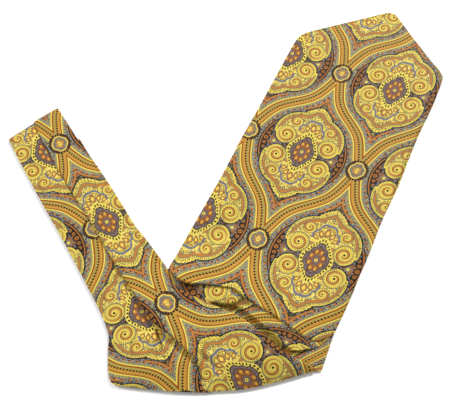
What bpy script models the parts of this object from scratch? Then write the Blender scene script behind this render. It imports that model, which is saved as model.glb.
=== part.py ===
"""A silk cravat laid flat: folded in half at the middle of its neckband and turned into a V.

The pleated neckband runs from the upper left down to the turn. Its pleats open there, the cloth
turns through a few folds, and the broad blade goes up to the right. The second half lies under the
first, so it shows only as edges.

Each panel of cloth is a wall that is ruled between two edge lines. A row of a panel's table is one
section across it: where it meets the left edge line, where it meets the right one, and how much the
cloth rises between them. Rows are in millimetres on the table top, and a height is that of the
cloth's upper face.
"""
from collections import namedtuple

import bmesh
import bpy
import numpy as np

MM = 0.001
CLOTH = 1.2  # thickness of a panel of cloth
LAYER_GAP = 0.45  # clear height between a panel and the layers packed under it
EDGE_PLEAT_HIDDEN = 3.6  # how far the edge pleat reaches in under the right pleat
SLAB_HEIGHT = 1.35  # the hidden layers of the neckband, pressed flat
SLAB_CLEARANCE = 0.6  # plan distance between the edge pleat and those layers
MOST_INSET = 0.42  # the largest inset, as a share of a section
SHARP_ANGLE = 0.7
MIDDLE_X = 4.9  # the middle of the whole outline, which becomes the origin
MIDDLE_Y = 23.5
RAIL_STEPS = 240  # fine steps along an edge line before it is softened
SOFTENING = 10  # passes that round the corners of an edge line

# back_left and back_right say how far the hidden layers lie back from the panel's two edges. Below
# zero, they show beside it.
COLUMNS = "left_x left_y left_z right_x right_y right_z crown back_left back_right"
Section = namedtuple("Section", COLUMNS, defaults=(1.4, 1.4))

PLEAT_RIGHT = [
    Section(-180.9, 82.9, 5.0, -159.8, 99.2, 4.0, 0.6),
    Section(-170.7, 61.9, 5.0, -146.4, 78.6, 4.0, 0.6),
    Section(-156.4, 37.9, 5.0, -133.9, 59.3, 4.0, 0.7),
    Section(-144.1, 19.1, 5.0, -120.6, 37.4, 4.0, 0.7),
    Section(-133.3, 1.2, 5.2, -108.6, 18.0, 4.0, 0.8),
    Section(-121.0, -16.0, 5.5, -97.0, -0.8, 4.0, 0.8),
    Section(-105.6, -40.5, 6.0, -84.6, -22.3, 4.5, 0.8),
    Section(-93.7, -60.5, 6.5, -73.1, -39.4, 5.0, 0.8),
    Section(-79.4, -81.5, 7.0, -62.9, -51.5, 5.5, 0.8),
    Section(-68.2, -98.2, 8.0, -53.0, -63.0, 6.0, 0.8),
]
TURN_FACET = [
    Section(-68.0, -98.5, 8.0, -52.7, -63.3, 6.0, 0.8, 12.5, 3.5),
    Section(-59.1, -110.7, 9.0, -45.3, -74.5, 7.0, 0.8, 12.5, 5.0),
    Section(-49.5, -117.4, 10.0, -39.6, -80.5, 8.0, 0.8, 12.5, 6.0),
    Section(-40.7, -124.2, 10.0, -29.3, -86.5, 9.0, 0.9, 12.5, 6.5),
    Section(-33.2, -131.8, 9.5, -17.5, -92.1, 9.2, 1.0, 11.0, 6.5),
    Section(-27.4, -138.1, 8.5, -2.5, -98.5, 9.6, 1.2, 8.0, 6.5),
    Section(-17.7, -148.8, 6.2, 12.3, -105.4, 11.0, 1.6, 4.0, 6.5),
    Section(-7.2, -160.3, 4.0, 20.4, -110.5, 13.0, 2.0, 2.0, 6.5),
    Section(-2.4, -165.0, 3.0, 26.9, -115.9, 13.0, 2.4, 1.6, 6.5),
    Section(10.4, -164.2, 3.0, 33.3, -120.7, 12.5, 2.4, 1.6, 6.5),
    Section(23.2, -162.2, 3.0, 39.7, -126.5, 11.0, 2.2, 1.6, 6.5),
    Section(36.1, -159.3, 3.0, 46.2, -132.1, 9.0, 2.0, 1.6, 6.5),
    Section(49.0, -156.0, 3.0, 53.4, -136.3, 8.0, 1.4, 1.6, 6.5),
    Section(60.4, -152.7, 3.0, 60.5, -141.0, 7.0, 0.8, 1.6, 6.5),
    Section(68.6, -150.3, 3.0, 67.6, -144.6, 5.4, 0.3, 1.6, 3.0),
    Section(73.2, -149.3, 3.0, 72.8, -146.6, 4.2, 0.0, 1.6, 1.5),
]
PLEAT_LEFT = [
    Section(-202.8, 65.4, 3.0, -173.4, 88.9, 3.0, 0.4),
    Section(-189.0, 41.0, 3.0, -161.4, 67.0, 3.0, 0.5),
    Section(-174.9, 17.5, 3.0, -148.6, 44.4, 3.0, 0.6),
    Section(-161.0, -5.6, 3.0, -134.9, 22.8, 3.0, 0.6),
    Section(-149.0, -24.5, 3.0, -122.8, 3.2, 3.0, 0.6),
    Section(-136.5, -45.1, 3.0, -108.8, -16.6, 3.0, 0.6),
    Section(-124.3, -65.8, 3.0, -95.0, -38.8, 3.2, 0.6),
    Section(-110.2, -89.9, 3.0, -81.5, -60.6, 3.2, 0.6),
    Section(-101.9, -105.4, 3.0, -69.0, -79.0, 3.4, 0.8),
    Section(-95.8, -119.7, 3.0, -59.0, -93.6, 3.6, 1.0),
    Section(-95.9, -134.5, 3.0, -49.2, -106.4, 4.0, 1.6),
    Section(-94.5, -151.2, 3.0, -39.5, -114.6, 4.4, 2.2),
    Section(-91.3, -160.1, 3.0, -31.4, -123.6, 4.8, 2.4),
    Section(-66.4, -163.1, 3.0, -26.0, -134.6, 5.4, 2.0),
    Section(-39.9, -165.4, 3.0, -19.6, -148.2, 4.2, 1.0),
    Section(-20.0, -166.0, 3.0, -9.6, -159.9, 3.4, 0.2),
    Section(-8.6, -166.0, 3.0, -4.6, -165.4, 3.0, 0.0),
]
BLADE = [
    Section(88.5, -118.4, 3.6, 90.8, -116.6, 3.0, 0.0, 10.0, 0.8),
    Section(79.4, -125.2, 5.0, 93.8, -110.8, 3.0, 0.3, 10.0, -2.0),
    Section(71.9, -126.6, 6.0, 97.7, -103.7, 3.0, 0.5, 10.0, -1.8),
    Section(61.4, -120.0, 8.0, 102.0, -94.2, 3.0, 0.8, 10.0, -2.1),
    Section(53.3, -114.5, 9.0, 106.6, -85.5, 3.0, 1.0, 10.0, -1.8),
    Section(42.8, -106.4, 10.0, 112.0, -75.0, 3.0, 1.0, 10.0, -0.4),
    Section(32.3, -99.6, 10.0, 118.1, -63.4, 3.0, 1.0, 10.0, 0.8),
    Section(20.8, -92.8, 10.0, 124.3, -50.6, 3.0, 0.6, 11.0, 0.8),
    Section(13.4, -86.8, 10.0, 130.2, -37.7, 3.0, 0.4, 14.0, 0.8),
    Section(5.0, -80.7, 10.0, 136.8, -22.6, 3.0, 0.2, 17.0, 0.8),
    Section(-5.0, -79.7, 9.5, 142.9, -10.1, 3.0, 0.2, 17.0, -0.2),
    Section(-16.0, -77.3, 9.0, 149.1, 3.6, 3.0, 0.2, 16.0, -2.1),
    Section(-27.0, -77.2, 8.5, 154.9, 16.5, 3.0, 0.2, 15.0, -4.0),
    Section(-36.3, -75.7, 8.0, 160.9, 30.7, 3.0, 0.2, 12.0, -4.5),
    Section(-44.2, -68.3, 7.0, 168.0, 46.2, 3.0, 0.4, 10.0, -4.2),
    Section(-47.7, -62.5, 5.0, 174.0, 58.2, 3.0, 0.8, 7.0, -3.6),
    Section(-44.0, -54.0, 3.5, 178.9, 68.4, 3.0, 1.2, 4.0, -3.5),
    Section(-37.6, -40.5, 3.0, 185.3, 79.2, 3.0, 1.5, 2.0, -2.3),
    Section(-26.5, -18.8, 3.0, 192.8, 90.7, 3.0, 1.5, 1.4, -0.8),
    Section(-13.5, 6.5, 3.0, 198.2, 100.1, 3.0, 1.5, 1.4, 0.8),
    Section(0.0, 33.2, 3.0, 202.8, 110.2, 3.0, 1.5, 1.4, 0.8),
    Section(15.9, 67.8, 3.0, 207.5, 120.4, 3.0, 1.4, 1.4, 0.8),
    Section(30.8, 96.8, 3.0, 211.0, 128.2, 3.0, 1.4, 1.4, 0.8),
    Section(51.9, 140.1, 3.0, 213.0, 134.9, 3.0, 1.2, 1.4, 0.8),
    Section(71.6, 180.1, 3.0, 209.6, 144.2, 3.0, 1.2, 1.4, 0.8),
    Section(76.4, 186.6, 3.0, 206.3, 149.0, 3.0, 1.0, 1.4, 0.8),
    Section(97.0, 192.7, 3.0, 203.3, 153.6, 3.0, 0.8, 1.4, 0.8),
    Section(119.6, 199.3, 3.0, 196.9, 166.5, 3.0, 0.6, 1.4, 0.8),
    Section(142.5, 206.0, 3.0, 187.0, 184.6, 3.0, 0.4, 1.4, 0.8),
    Section(158.2, 210.7, 3.0, 180.4, 198.6, 3.0, 0.2, 1.4, 0.8),
    Section(166.3, 213.0, 3.0, 173.6, 211.2, 3.0, 0.0, 1.4, 0.8),
]
TURN_POCKET = [
    Section(-8.0, -90.5, 5.2, -9.0, -97.0, 6.8, 0.0),
    Section(2.0, -92.5, 6.0, 1.0, -101.5, 7.2, 0.2),
    Section(12.0, -92.0, 6.4, 10.0, -107.0, 7.8, 0.3),
    Section(20.0, -89.5, 7.4, 17.0, -112.0, 7.5, 0.3),
    Section(30.0, -93.0, 8.0, 23.0, -117.0, 6.5, 0.2),
    Section(41.0, -100.0, 8.0, 30.0, -123.0, 5.0, 0.2),
    Section(52.0, -107.5, 7.2, 38.0, -130.0, 4.2, 0.2),
    Section(62.5, -115.8, 5.9, 48.0, -133.0, 3.8, 0.2),
    Section(69.2, -120.6, 4.6, 58.0, -132.6, 3.6, 0.2),
    Section(75.2, -123.0, 3.7, 71.0, -131.2, 3.3, 0.1),
    Section(79.2, -124.6, 3.0, 79.5, -128.4, 3.0, 0.0),
]
TURN_TUCK = [
    Section(-45.5, -65.5, 3.6, -50.6, -68.6, 3.8, 0.0),
    Section(-39.5, -70.0, 4.5, -46.0, -77.8, 4.8, 0.0),
    Section(-31.5, -72.5, 5.2, -38.5, -84.6, 5.6, 0.2),
    Section(-23.5, -73.5, 5.9, -28.8, -90.0, 6.3, 0.4),
    Section(-15.0, -74.0, 6.4, -18.5, -93.5, 7.0, 0.5),
    Section(-5.0, -75.0, 6.9, -9.5, -92.5, 7.6, 0.6),
    Section(5.0, -75.5, 7.0, 1.0, -94.8, 8.4, 0.6),
    Section(11.5, -80.0, 7.2, 9.0, -93.8, 8.7, 0.5),
    Section(15.2, -84.5, 7.6, 14.2, -89.0, 8.4, 0.0),
]
TURN_CORNER = [
    Section(52.0, -133.8, 3.4, 53.0, -137.5, 3.4, 0.0),
    Section(60.0, -133.2, 3.6, 60.5, -142.0, 3.8, 0.8),
    Section(71.5, -131.9, 3.3, 67.8, -143.6, 3.6, 1.8),
    Section(82.5, -127.6, 3.1, 73.8, -145.8, 3.0, 2.2),
    Section(89.8, -119.6, 3.0, 76.9, -148.2, 2.4, 1.6),
]
EDGE_PLEAT = [
    Section(-137.5, 65.0, 2.4, -136.0, 65.6, 2.4, 0.0),
    Section(-129.0, 51.3, 2.4, -126.4, 50.0, 2.4, 0.0),
    Section(-120.6, 37.4, 2.4, -116.6, 36.0, 2.4, 0.0),
    Section(-108.6, 18.0, 2.4, -104.2, 17.4, 2.4, 0.0),
    Section(-97.0, -0.8, 2.4, -91.8, -2.2, 2.4, 0.0),
    Section(-84.6, -22.3, 2.4, -79.6, -22.0, 2.4, 0.0),
    Section(-73.1, -39.4, 2.4, -67.5, -36.8, 2.4, 0.0),
    Section(-62.9, -51.5, 2.4, -57.6, -50.4, 2.4, 0.0),
    Section(-55.5, -60.1, 2.4, -51.5, -58.9, 2.4, 0.0),
]

BAND_ROWS = 9  # sections of the pleats' tables that lie in the neckband's straight run
CLOTH_COLOURS = {
    "blade": (0.62, 0.43, 0.11),
    "band": (0.58, 0.39, 0.10),
    "turn": (0.54, 0.36, 0.10),
    "hidden": (0.40, 0.26, 0.08),
}


def clear_scene():
    """Take away whatever the scene holds."""
    for thing in list(bpy.data.objects):
        bpy.data.objects.remove(thing, do_unlink=True)


def silk(name, colour):
    """A soft woven cloth of one colour."""
    material = bpy.data.materials.new(name)
    material.use_nodes = True
    shader = material.node_tree.nodes["Principled BSDF"]
    shader.inputs["Base Color"].default_value = (*colour, 1.0)
    shader.inputs["Roughness"].default_value = 0.5
    shader.inputs["Metallic"].default_value = 0.0
    return material


def soften(columns):
    """Round the corners of finely stepped lines, with their two ends kept."""
    for _ in range(SOFTENING):
        inner = (columns[:-2] + 2 * columns[1:-1] + columns[2:]) / 4
        columns = np.concatenate([columns[:1], inner, columns[-1:]])
    return columns


def step_lengths(points):
    """Distance from each point to the next."""
    return np.linalg.norm(np.diff(points, axis=0), axis=1)


def sheet(sections, along, across, kept_back=False):
    """The upper face of a panel as a grid of points, or the same face with its edges kept back."""
    table = np.array(sections, float)
    left_steps = step_lengths(table[:, 0:2])
    right_steps = step_lengths(table[:, 3:5])
    stations = np.concatenate([[0.0], np.cumsum(left_steps + right_steps)])
    fine = np.linspace(0.0, stations[-1], RAIL_STEPS + 1)
    columns = [np.interp(fine, stations, table[:, i]) for i in range(table.shape[1])]
    columns = soften(np.stack(columns, axis=1))
    picked = np.linspace(0, RAIL_STEPS, along + 1).round().astype(int)
    columns = columns[picked]
    left = columns[:, 0:3]
    right = columns[:, 3:6]
    crown = columns[:, 6]
    width = np.linalg.norm((right - left)[:, :2], axis=1)
    start = kept_back * np.minimum(columns[:, 7] / width, MOST_INSET)
    stop = 1.0 - kept_back * np.minimum(columns[:, 8] / width, MOST_INSET)
    share = start[:, None] + (stop - start)[:, None] * np.linspace(0.0, 1.0, across + 1)
    points = left[:, None, :] + (right - left)[:, None, :] * share[:, :, None]
    points[:, :, 2] += crown[:, None] * (1.0 - (2.0 * share - 1.0) ** 2)
    return points


def body_between(name, upper, lower, colour):
    """One closed body between two grids of points that lie one above the other."""
    rows, columns = upper.shape[:2]
    middle = np.array([MIDDLE_X, MIDDLE_Y, 0.0])
    mesh = bmesh.new()
    tops = [[mesh.verts.new((p - middle) * MM) for p in row] for row in upper]
    bottoms = [[mesh.verts.new((p - middle) * MM) for p in row] for row in lower]
    for i in range(rows - 1):
        for j in range(columns - 1):
            mesh.faces.new((tops[i][j], tops[i][j + 1], tops[i + 1][j + 1], tops[i + 1][j]))
            mesh.faces.new((bottoms[i][j], bottoms[i + 1][j], bottoms[i + 1][j + 1], bottoms[i][j + 1]))
    rim = [(0, j) for j in range(columns)]
    rim += [(i, columns - 1) for i in range(1, rows)]
    rim += [(rows - 1, j) for j in range(columns - 2, -1, -1)]
    rim += [(i, 0) for i in range(rows - 2, 0, -1)]
    for (i, j), (k, m) in zip(rim, rim[1:] + rim[:1]):
        mesh.faces.new((tops[i][j], bottoms[i][j], bottoms[k][m], tops[k][m]))
    bmesh.ops.recalc_face_normals(mesh, faces=mesh.faces)
    data = bpy.data.meshes.new(name)
    mesh.to_mesh(data)
    mesh.free()
    data.shade_smooth()
    data.set_sharp_from_angle(angle=SHARP_ANGLE)
    data.materials.append(silk(name + "_silk", CLOTH_COLOURS[colour]))
    thing = bpy.data.objects.new(name, data)
    bpy.context.scene.collection.objects.link(thing)


def panel(name, sections, along, across, colour):
    """A wall of cloth that follows its sections."""
    upper = sheet(sections, along, across)
    body_between(name, upper, upper - np.array([0.0, 0.0, CLOTH]), colour)


def layers(name, sections, along, across, height=None):
    """Hidden layers as one solid on the table top, pressed flat or reaching up to just below the cloth."""
    upper = sheet(sections, along, across, kept_back=True)
    upper[:, :, 2] = upper[:, :, 2] - CLOTH - LAYER_GAP if height is None else height
    lower = upper.copy()
    lower[:, :, 2] = 0.0
    body_between(name, upper, lower, "hidden")


def edge_pleat(name, sections, along, across):
    """The narrow pleat along the band's inner edge, which reaches in under the right pleat."""
    rows = [row._replace(back_left=-EDGE_PLEAT_HIDDEN, back_right=0.0) for row in sections]
    upper = sheet(rows, along, across, kept_back=True)
    lower = upper.copy()
    lower[:, :, 2] = 0.0
    body_between(name, upper, lower, "band")


def neckband_sections():
    """Sections across the whole neckband, from the left pleat's outer edge to the edge pleat."""
    rows = []
    for left, right in zip(PLEAT_LEFT[:BAND_ROWS], PLEAT_RIGHT):
        row = left._replace(right_x=right.right_x, right_y=right.right_y)
        rows.append(row._replace(back_right=EDGE_PLEAT_HIDDEN + SLAB_CLEARANCE))
    return rows


def build():
    """Make every piece of the cravat."""
    clear_scene()
    panel("blade_front", BLADE, 56, 14, "blade")
    panel("pleat_left", PLEAT_LEFT, 44, 8, "band")
    panel("pleat_right", PLEAT_RIGHT, 24, 6, "band")
    panel("turn_facet", TURN_FACET, 36, 12, "turn")
    panel("turn_pocket", TURN_POCKET, 24, 6, "turn")
    panel("turn_tuck", TURN_TUCK, 24, 6, "turn")
    panel("turn_corner", TURN_CORNER, 12, 6, "turn")
    edge_pleat("pleat_edge", EDGE_PLEAT, 24, 2)
    layers("blade_rear", BLADE, 56, 10)
    layers("neckband_layers", neckband_sections(), 20, 4, SLAB_HEIGHT)
    layers("turn_layers_left", PLEAT_LEFT[BAND_ROWS:], 20, 6, SLAB_HEIGHT)
    layers("turn_layers", TURN_FACET, 36, 10)


build()
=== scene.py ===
"""A printed silk cravat, folded in half at its neckband and laid as a V on a pale table top.

The cloth is built from the same sections as its solids, in millimetres on the table top: each row
of a table is one section across a panel, from its left edge line to its right one. On that form come
rolled folds, turned hems, creases, the layers of the hidden half, and a woven silk whose print
follows the grain of each panel.
"""
import logging
import math
from dataclasses import dataclass, field
from enum import Enum
from typing import NamedTuple, Sequence, Union

import bmesh
import bpy
import numpy as np
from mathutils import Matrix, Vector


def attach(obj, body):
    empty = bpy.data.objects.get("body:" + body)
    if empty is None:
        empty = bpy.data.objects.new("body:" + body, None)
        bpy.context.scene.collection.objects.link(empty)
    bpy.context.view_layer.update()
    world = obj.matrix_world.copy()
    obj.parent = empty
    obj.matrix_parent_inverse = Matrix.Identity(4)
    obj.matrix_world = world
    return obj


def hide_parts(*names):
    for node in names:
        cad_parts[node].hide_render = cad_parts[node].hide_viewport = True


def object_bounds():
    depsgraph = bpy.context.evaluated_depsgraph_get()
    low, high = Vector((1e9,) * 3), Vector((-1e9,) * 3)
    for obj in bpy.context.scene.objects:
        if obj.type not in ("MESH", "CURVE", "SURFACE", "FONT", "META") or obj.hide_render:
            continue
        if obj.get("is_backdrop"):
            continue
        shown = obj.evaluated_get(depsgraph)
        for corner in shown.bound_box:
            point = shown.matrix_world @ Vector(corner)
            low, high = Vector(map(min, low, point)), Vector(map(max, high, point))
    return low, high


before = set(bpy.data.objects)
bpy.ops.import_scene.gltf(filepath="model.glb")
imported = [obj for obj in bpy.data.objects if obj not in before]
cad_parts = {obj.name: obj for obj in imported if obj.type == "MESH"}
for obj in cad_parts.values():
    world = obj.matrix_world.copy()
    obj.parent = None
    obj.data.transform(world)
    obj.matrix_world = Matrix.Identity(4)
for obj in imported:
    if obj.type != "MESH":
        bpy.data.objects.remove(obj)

LOG = logging.getLogger("cravat")
MM = 0.001
MIDDLE = np.array([4.9, 23.5, 0.0])  # the middle of the outline, in the drawing's millimetres
TABLE = 3.0  # height of the cloth's upper face where the cravat lies flat
RAIL_STEPS = 240  # fine steps along an edge line before it is softened
SOFTENING = 10  # passes that round the corners of an edge line
EYE = np.array([0.0, -251.7, 565.3])  # where the print's places were measured from, in millimetres
PRINT_MAP = "print"
LEAST_GAP = 0.2  # height of a panel's underside over the table, unless its edge rolls down
RIM_SHARES = np.array([0.0, 0.06, 0.2, 0.5])  # steps over a rounded edge
RIM_LIMIT = 0.08  # most that a rounded edge takes of a line
CLOSE_LIMIT = 0.4  # most that a finely stepped strip takes of a line
CLOSE_STEPS = 15  # lines in a finely stepped strip
LIP_STEPS = 9  # points round the rim of one hidden layer
HEM_STITCHES_IN = 2.9  # distance of a hem's stitches from its edge, in millimetres
STITCH_LIFT = np.array([0.0, 0.0, 0.05])  # how far the stitches' middles lie over the cloth
VOLUTE = (20.7, 11.8)  # middle of a medallion quarter's large scroll
VOLUTE_SIZE = 9.7  # its radius
LOBE = (8.0, 16.0)  # middle of the round lobe above it
CORE = (11.6, 17.6)  # half sizes of the medallion's dark diamond


class Section(NamedTuple):
    """One section across a panel: its edges, the crown between them, and how far layers stay back."""

    left_x: float
    left_y: float
    left_z: float
    right_x: float
    right_y: float
    right_z: float
    crown: float
    back_left: float = 1.4
    back_right: float = 1.4


def sections(*rows: tuple[float, ...]) -> list[Section]:
    """Make a panel's sections, from rows in the order of Section's columns."""
    return [Section(*row) for row in rows]


def linear(code: str) -> tuple[float, float, float, float]:
    """Turn an sRGB hex colour into linear values.

    Args:
        code: A colour such as "#CCB744".

    Returns:
        Red, green, blue and an alpha of one.
    """
    shares = [int(code[i:i + 2], 16) / 255 for i in (1, 3, 5)]
    lit = [s / 12.92 if s <= 0.04045 else ((s + 0.055) / 1.055) ** 2.4 for s in shares]
    return (*lit, 1.0)


def add_node(tree: bpy.types.NodeTree, kind: str, settings: dict, links: dict) -> bpy.types.Node:
    """Add a node with its settings and inputs.

    Args:
        tree: The node tree that gets the node.
        kind: The node's type, such as "ShaderNodeMath".
        settings: Property names and their values.
        links: Input names or numbers, each with a value, an output socket or a Signal.

    Returns:
        The new node.
    """
    node = tree.nodes.new(kind)
    for name, value in settings.items():
        setattr(node, name, value)
    for key, value in links.items():
        source = value.socket if isinstance(value, Signal) else value
        if isinstance(source, bpy.types.NodeSocket):
            tree.links.new(source, node.inputs[key])
        else:
            node.inputs[key].default_value = source
    return node


class Signal:
    """A number that varies over the cloth, kept as a node's output."""

    def __init__(self, tree: bpy.types.NodeTree, socket: bpy.types.NodeSocket) -> None:
        """Keep the output that carries the number.

        Args:
            tree: The tree that the output belongs to.
            socket: The output.
        """
        self.tree = tree
        self.socket = socket

    def math(self, operation: str, *others: "Number", clamp: bool = False) -> "Signal":
        """Apply a math node.

        Args:
            operation: The node's operation.
            others: Its second and third input.
            clamp: Whether the result stays from zero to one.

        Returns:
            The result.
        """
        settings = {"operation": operation, "use_clamp": clamp}
        node = add_node(self.tree, "ShaderNodeMath", settings, dict(enumerate((self, *others))))
        return Signal(self.tree, node.outputs[0])

    def __add__(self, other: "Number") -> "Signal":
        """Add a number."""
        return self.math("ADD", other)

    def __sub__(self, other: "Number") -> "Signal":
        """Take a number away."""
        return self.math("SUBTRACT", other)

    def __rsub__(self, other: float) -> "Signal":
        """Take this from a number."""
        return self.math("MULTIPLY_ADD", -1.0, other)

    def __mul__(self, other: "Number") -> "Signal":
        """Multiply by a number."""
        return self.math("MULTIPLY", other)

    def __truediv__(self, other: "Number") -> "Signal":
        """Divide by a number."""
        return self.math("DIVIDE", other)

    def __abs__(self) -> "Signal":
        """Drop the sign."""
        return self.math("ABSOLUTE")

    def least(self, other: "Number") -> "Signal":
        """Keep the smaller of two numbers."""
        return self.math("MINIMUM", other)

    def most(self, other: "Number") -> "Signal":
        """Keep the larger of two numbers."""
        return self.math("MAXIMUM", other)

    def wave(self, length: float) -> "Signal":
        """Make a sine wave of a given length."""
        return (self * (math.tau / length)).math("SINE")

    def repeat(self, length: float) -> "Signal":
        """Measure from the middle of each repeat of a given length."""
        return ((self / length).math("FRACT") - 0.5) * length

    def below(self, limit: float, soft: float = 0.3) -> "Signal":
        """Mask where the number is below a limit, with a soft edge."""
        return self.math("MULTIPLY_ADD", -1.0 / soft, limit / soft + 0.5, clamp=True)

    def above(self, limit: float, soft: float = 0.3) -> "Signal":
        """Mask where the number is above a limit, with a soft edge."""
        return self.math("MULTIPLY_ADD", 1.0 / soft, -limit / soft + 0.5, clamp=True)

    def between(self, low: float, high: float, soft: float = 0.3) -> "Signal":
        """Mask where the number is between two limits."""
        return abs(self - (low + high) / 2).below((high - low) / 2, soft)


Number = Union[Signal, float]


class Place(NamedTuple):
    """A point of the print, in millimetres from a motif's middle."""

    x: Signal
    y: Signal

    def away(self, x: float, y: float) -> "Place":
        """Measure from another point."""
        return Place(self.x - x, self.y - y)

    def radius(self) -> Signal:
        """Distance from the middle."""
        return (self.x * self.x + self.y * self.y).math("SQRT")

    def angle(self) -> Signal:
        """Angle round the middle, in radians."""
        return self.y.math("ARCTAN2", self.x)

    def disc(self, size: float, soft: float = 0.3) -> Signal:
        """Mask a disc round the middle."""
        return self.radius().below(size, soft)

    def beads(self, count: float) -> Signal:
        """Place across each of some beads round the middle, from minus a half to a half."""
        return (self.angle() * (count / math.tau)).repeat(1.0)

    def powers(self, exponent: float) -> Signal:
        """Sum of both places to a power, which is one along a rounded diamond."""
        return self.x.math("POWER", exponent) + self.y.math("POWER", exponent)

    def slant(self) -> Signal:
        """Distance along the medallion's pointed tip."""
        return self.x * 0.72 - self.y * 0.70

    def squeezed(self, wide: float, tall: float) -> "Place":
        """Scale so that an ellipse of these half sizes becomes a unit circle."""
        return Place(self.x / wide, self.y / tall)

    def turned(self, degrees: float) -> "Place":
        """Measure along axes that are turned anticlockwise."""
        c, s = math.cos(math.radians(degrees)), math.sin(math.radians(degrees))
        return Place(self.x * c + self.y * s, self.y * c - self.x * s)


@dataclass(frozen=True)
class Dyes:
    """The colours of the print, as they look on the cloth."""

    yellow: str = "#CDB84D"
    gold: str = "#BAA03C"
    mustard: str = "#9B7A22"
    tan: str = "#AD802F"
    olive: str = "#928640"
    khaki: str = "#6B5D24"
    orange: str = "#A66826"
    rust: str = "#7B3B0D"
    brown: str = "#613815"
    bark: str = "#35200B"
    slate: str = "#64656B"
    mist: str = "#85856D"
    moss: str = "#938D4D"
    ink: str = "#1D140D"
    plum: str = "#624B3F"
    soil: str = "#302C1A"


class Layers:
    """Colours that are laid over each other, one mask at a time."""

    def __init__(self, tree: bpy.types.NodeTree, ground: bpy.types.NodeSocket) -> None:
        """Start from the ground's colour, which is an output of the tree."""
        self.tree = tree
        self.colour = ground

    def lay(self, mask: Signal, dye: str) -> None:
        """Lay a dye, given as an sRGB hex colour, where the mask is one."""
        links = {0: mask, 6: self.colour, 7: linear(dye)}
        self.colour = add_node(self.tree, "ShaderNodeMix", {"data_type": "RGBA"}, links).outputs[2]


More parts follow.
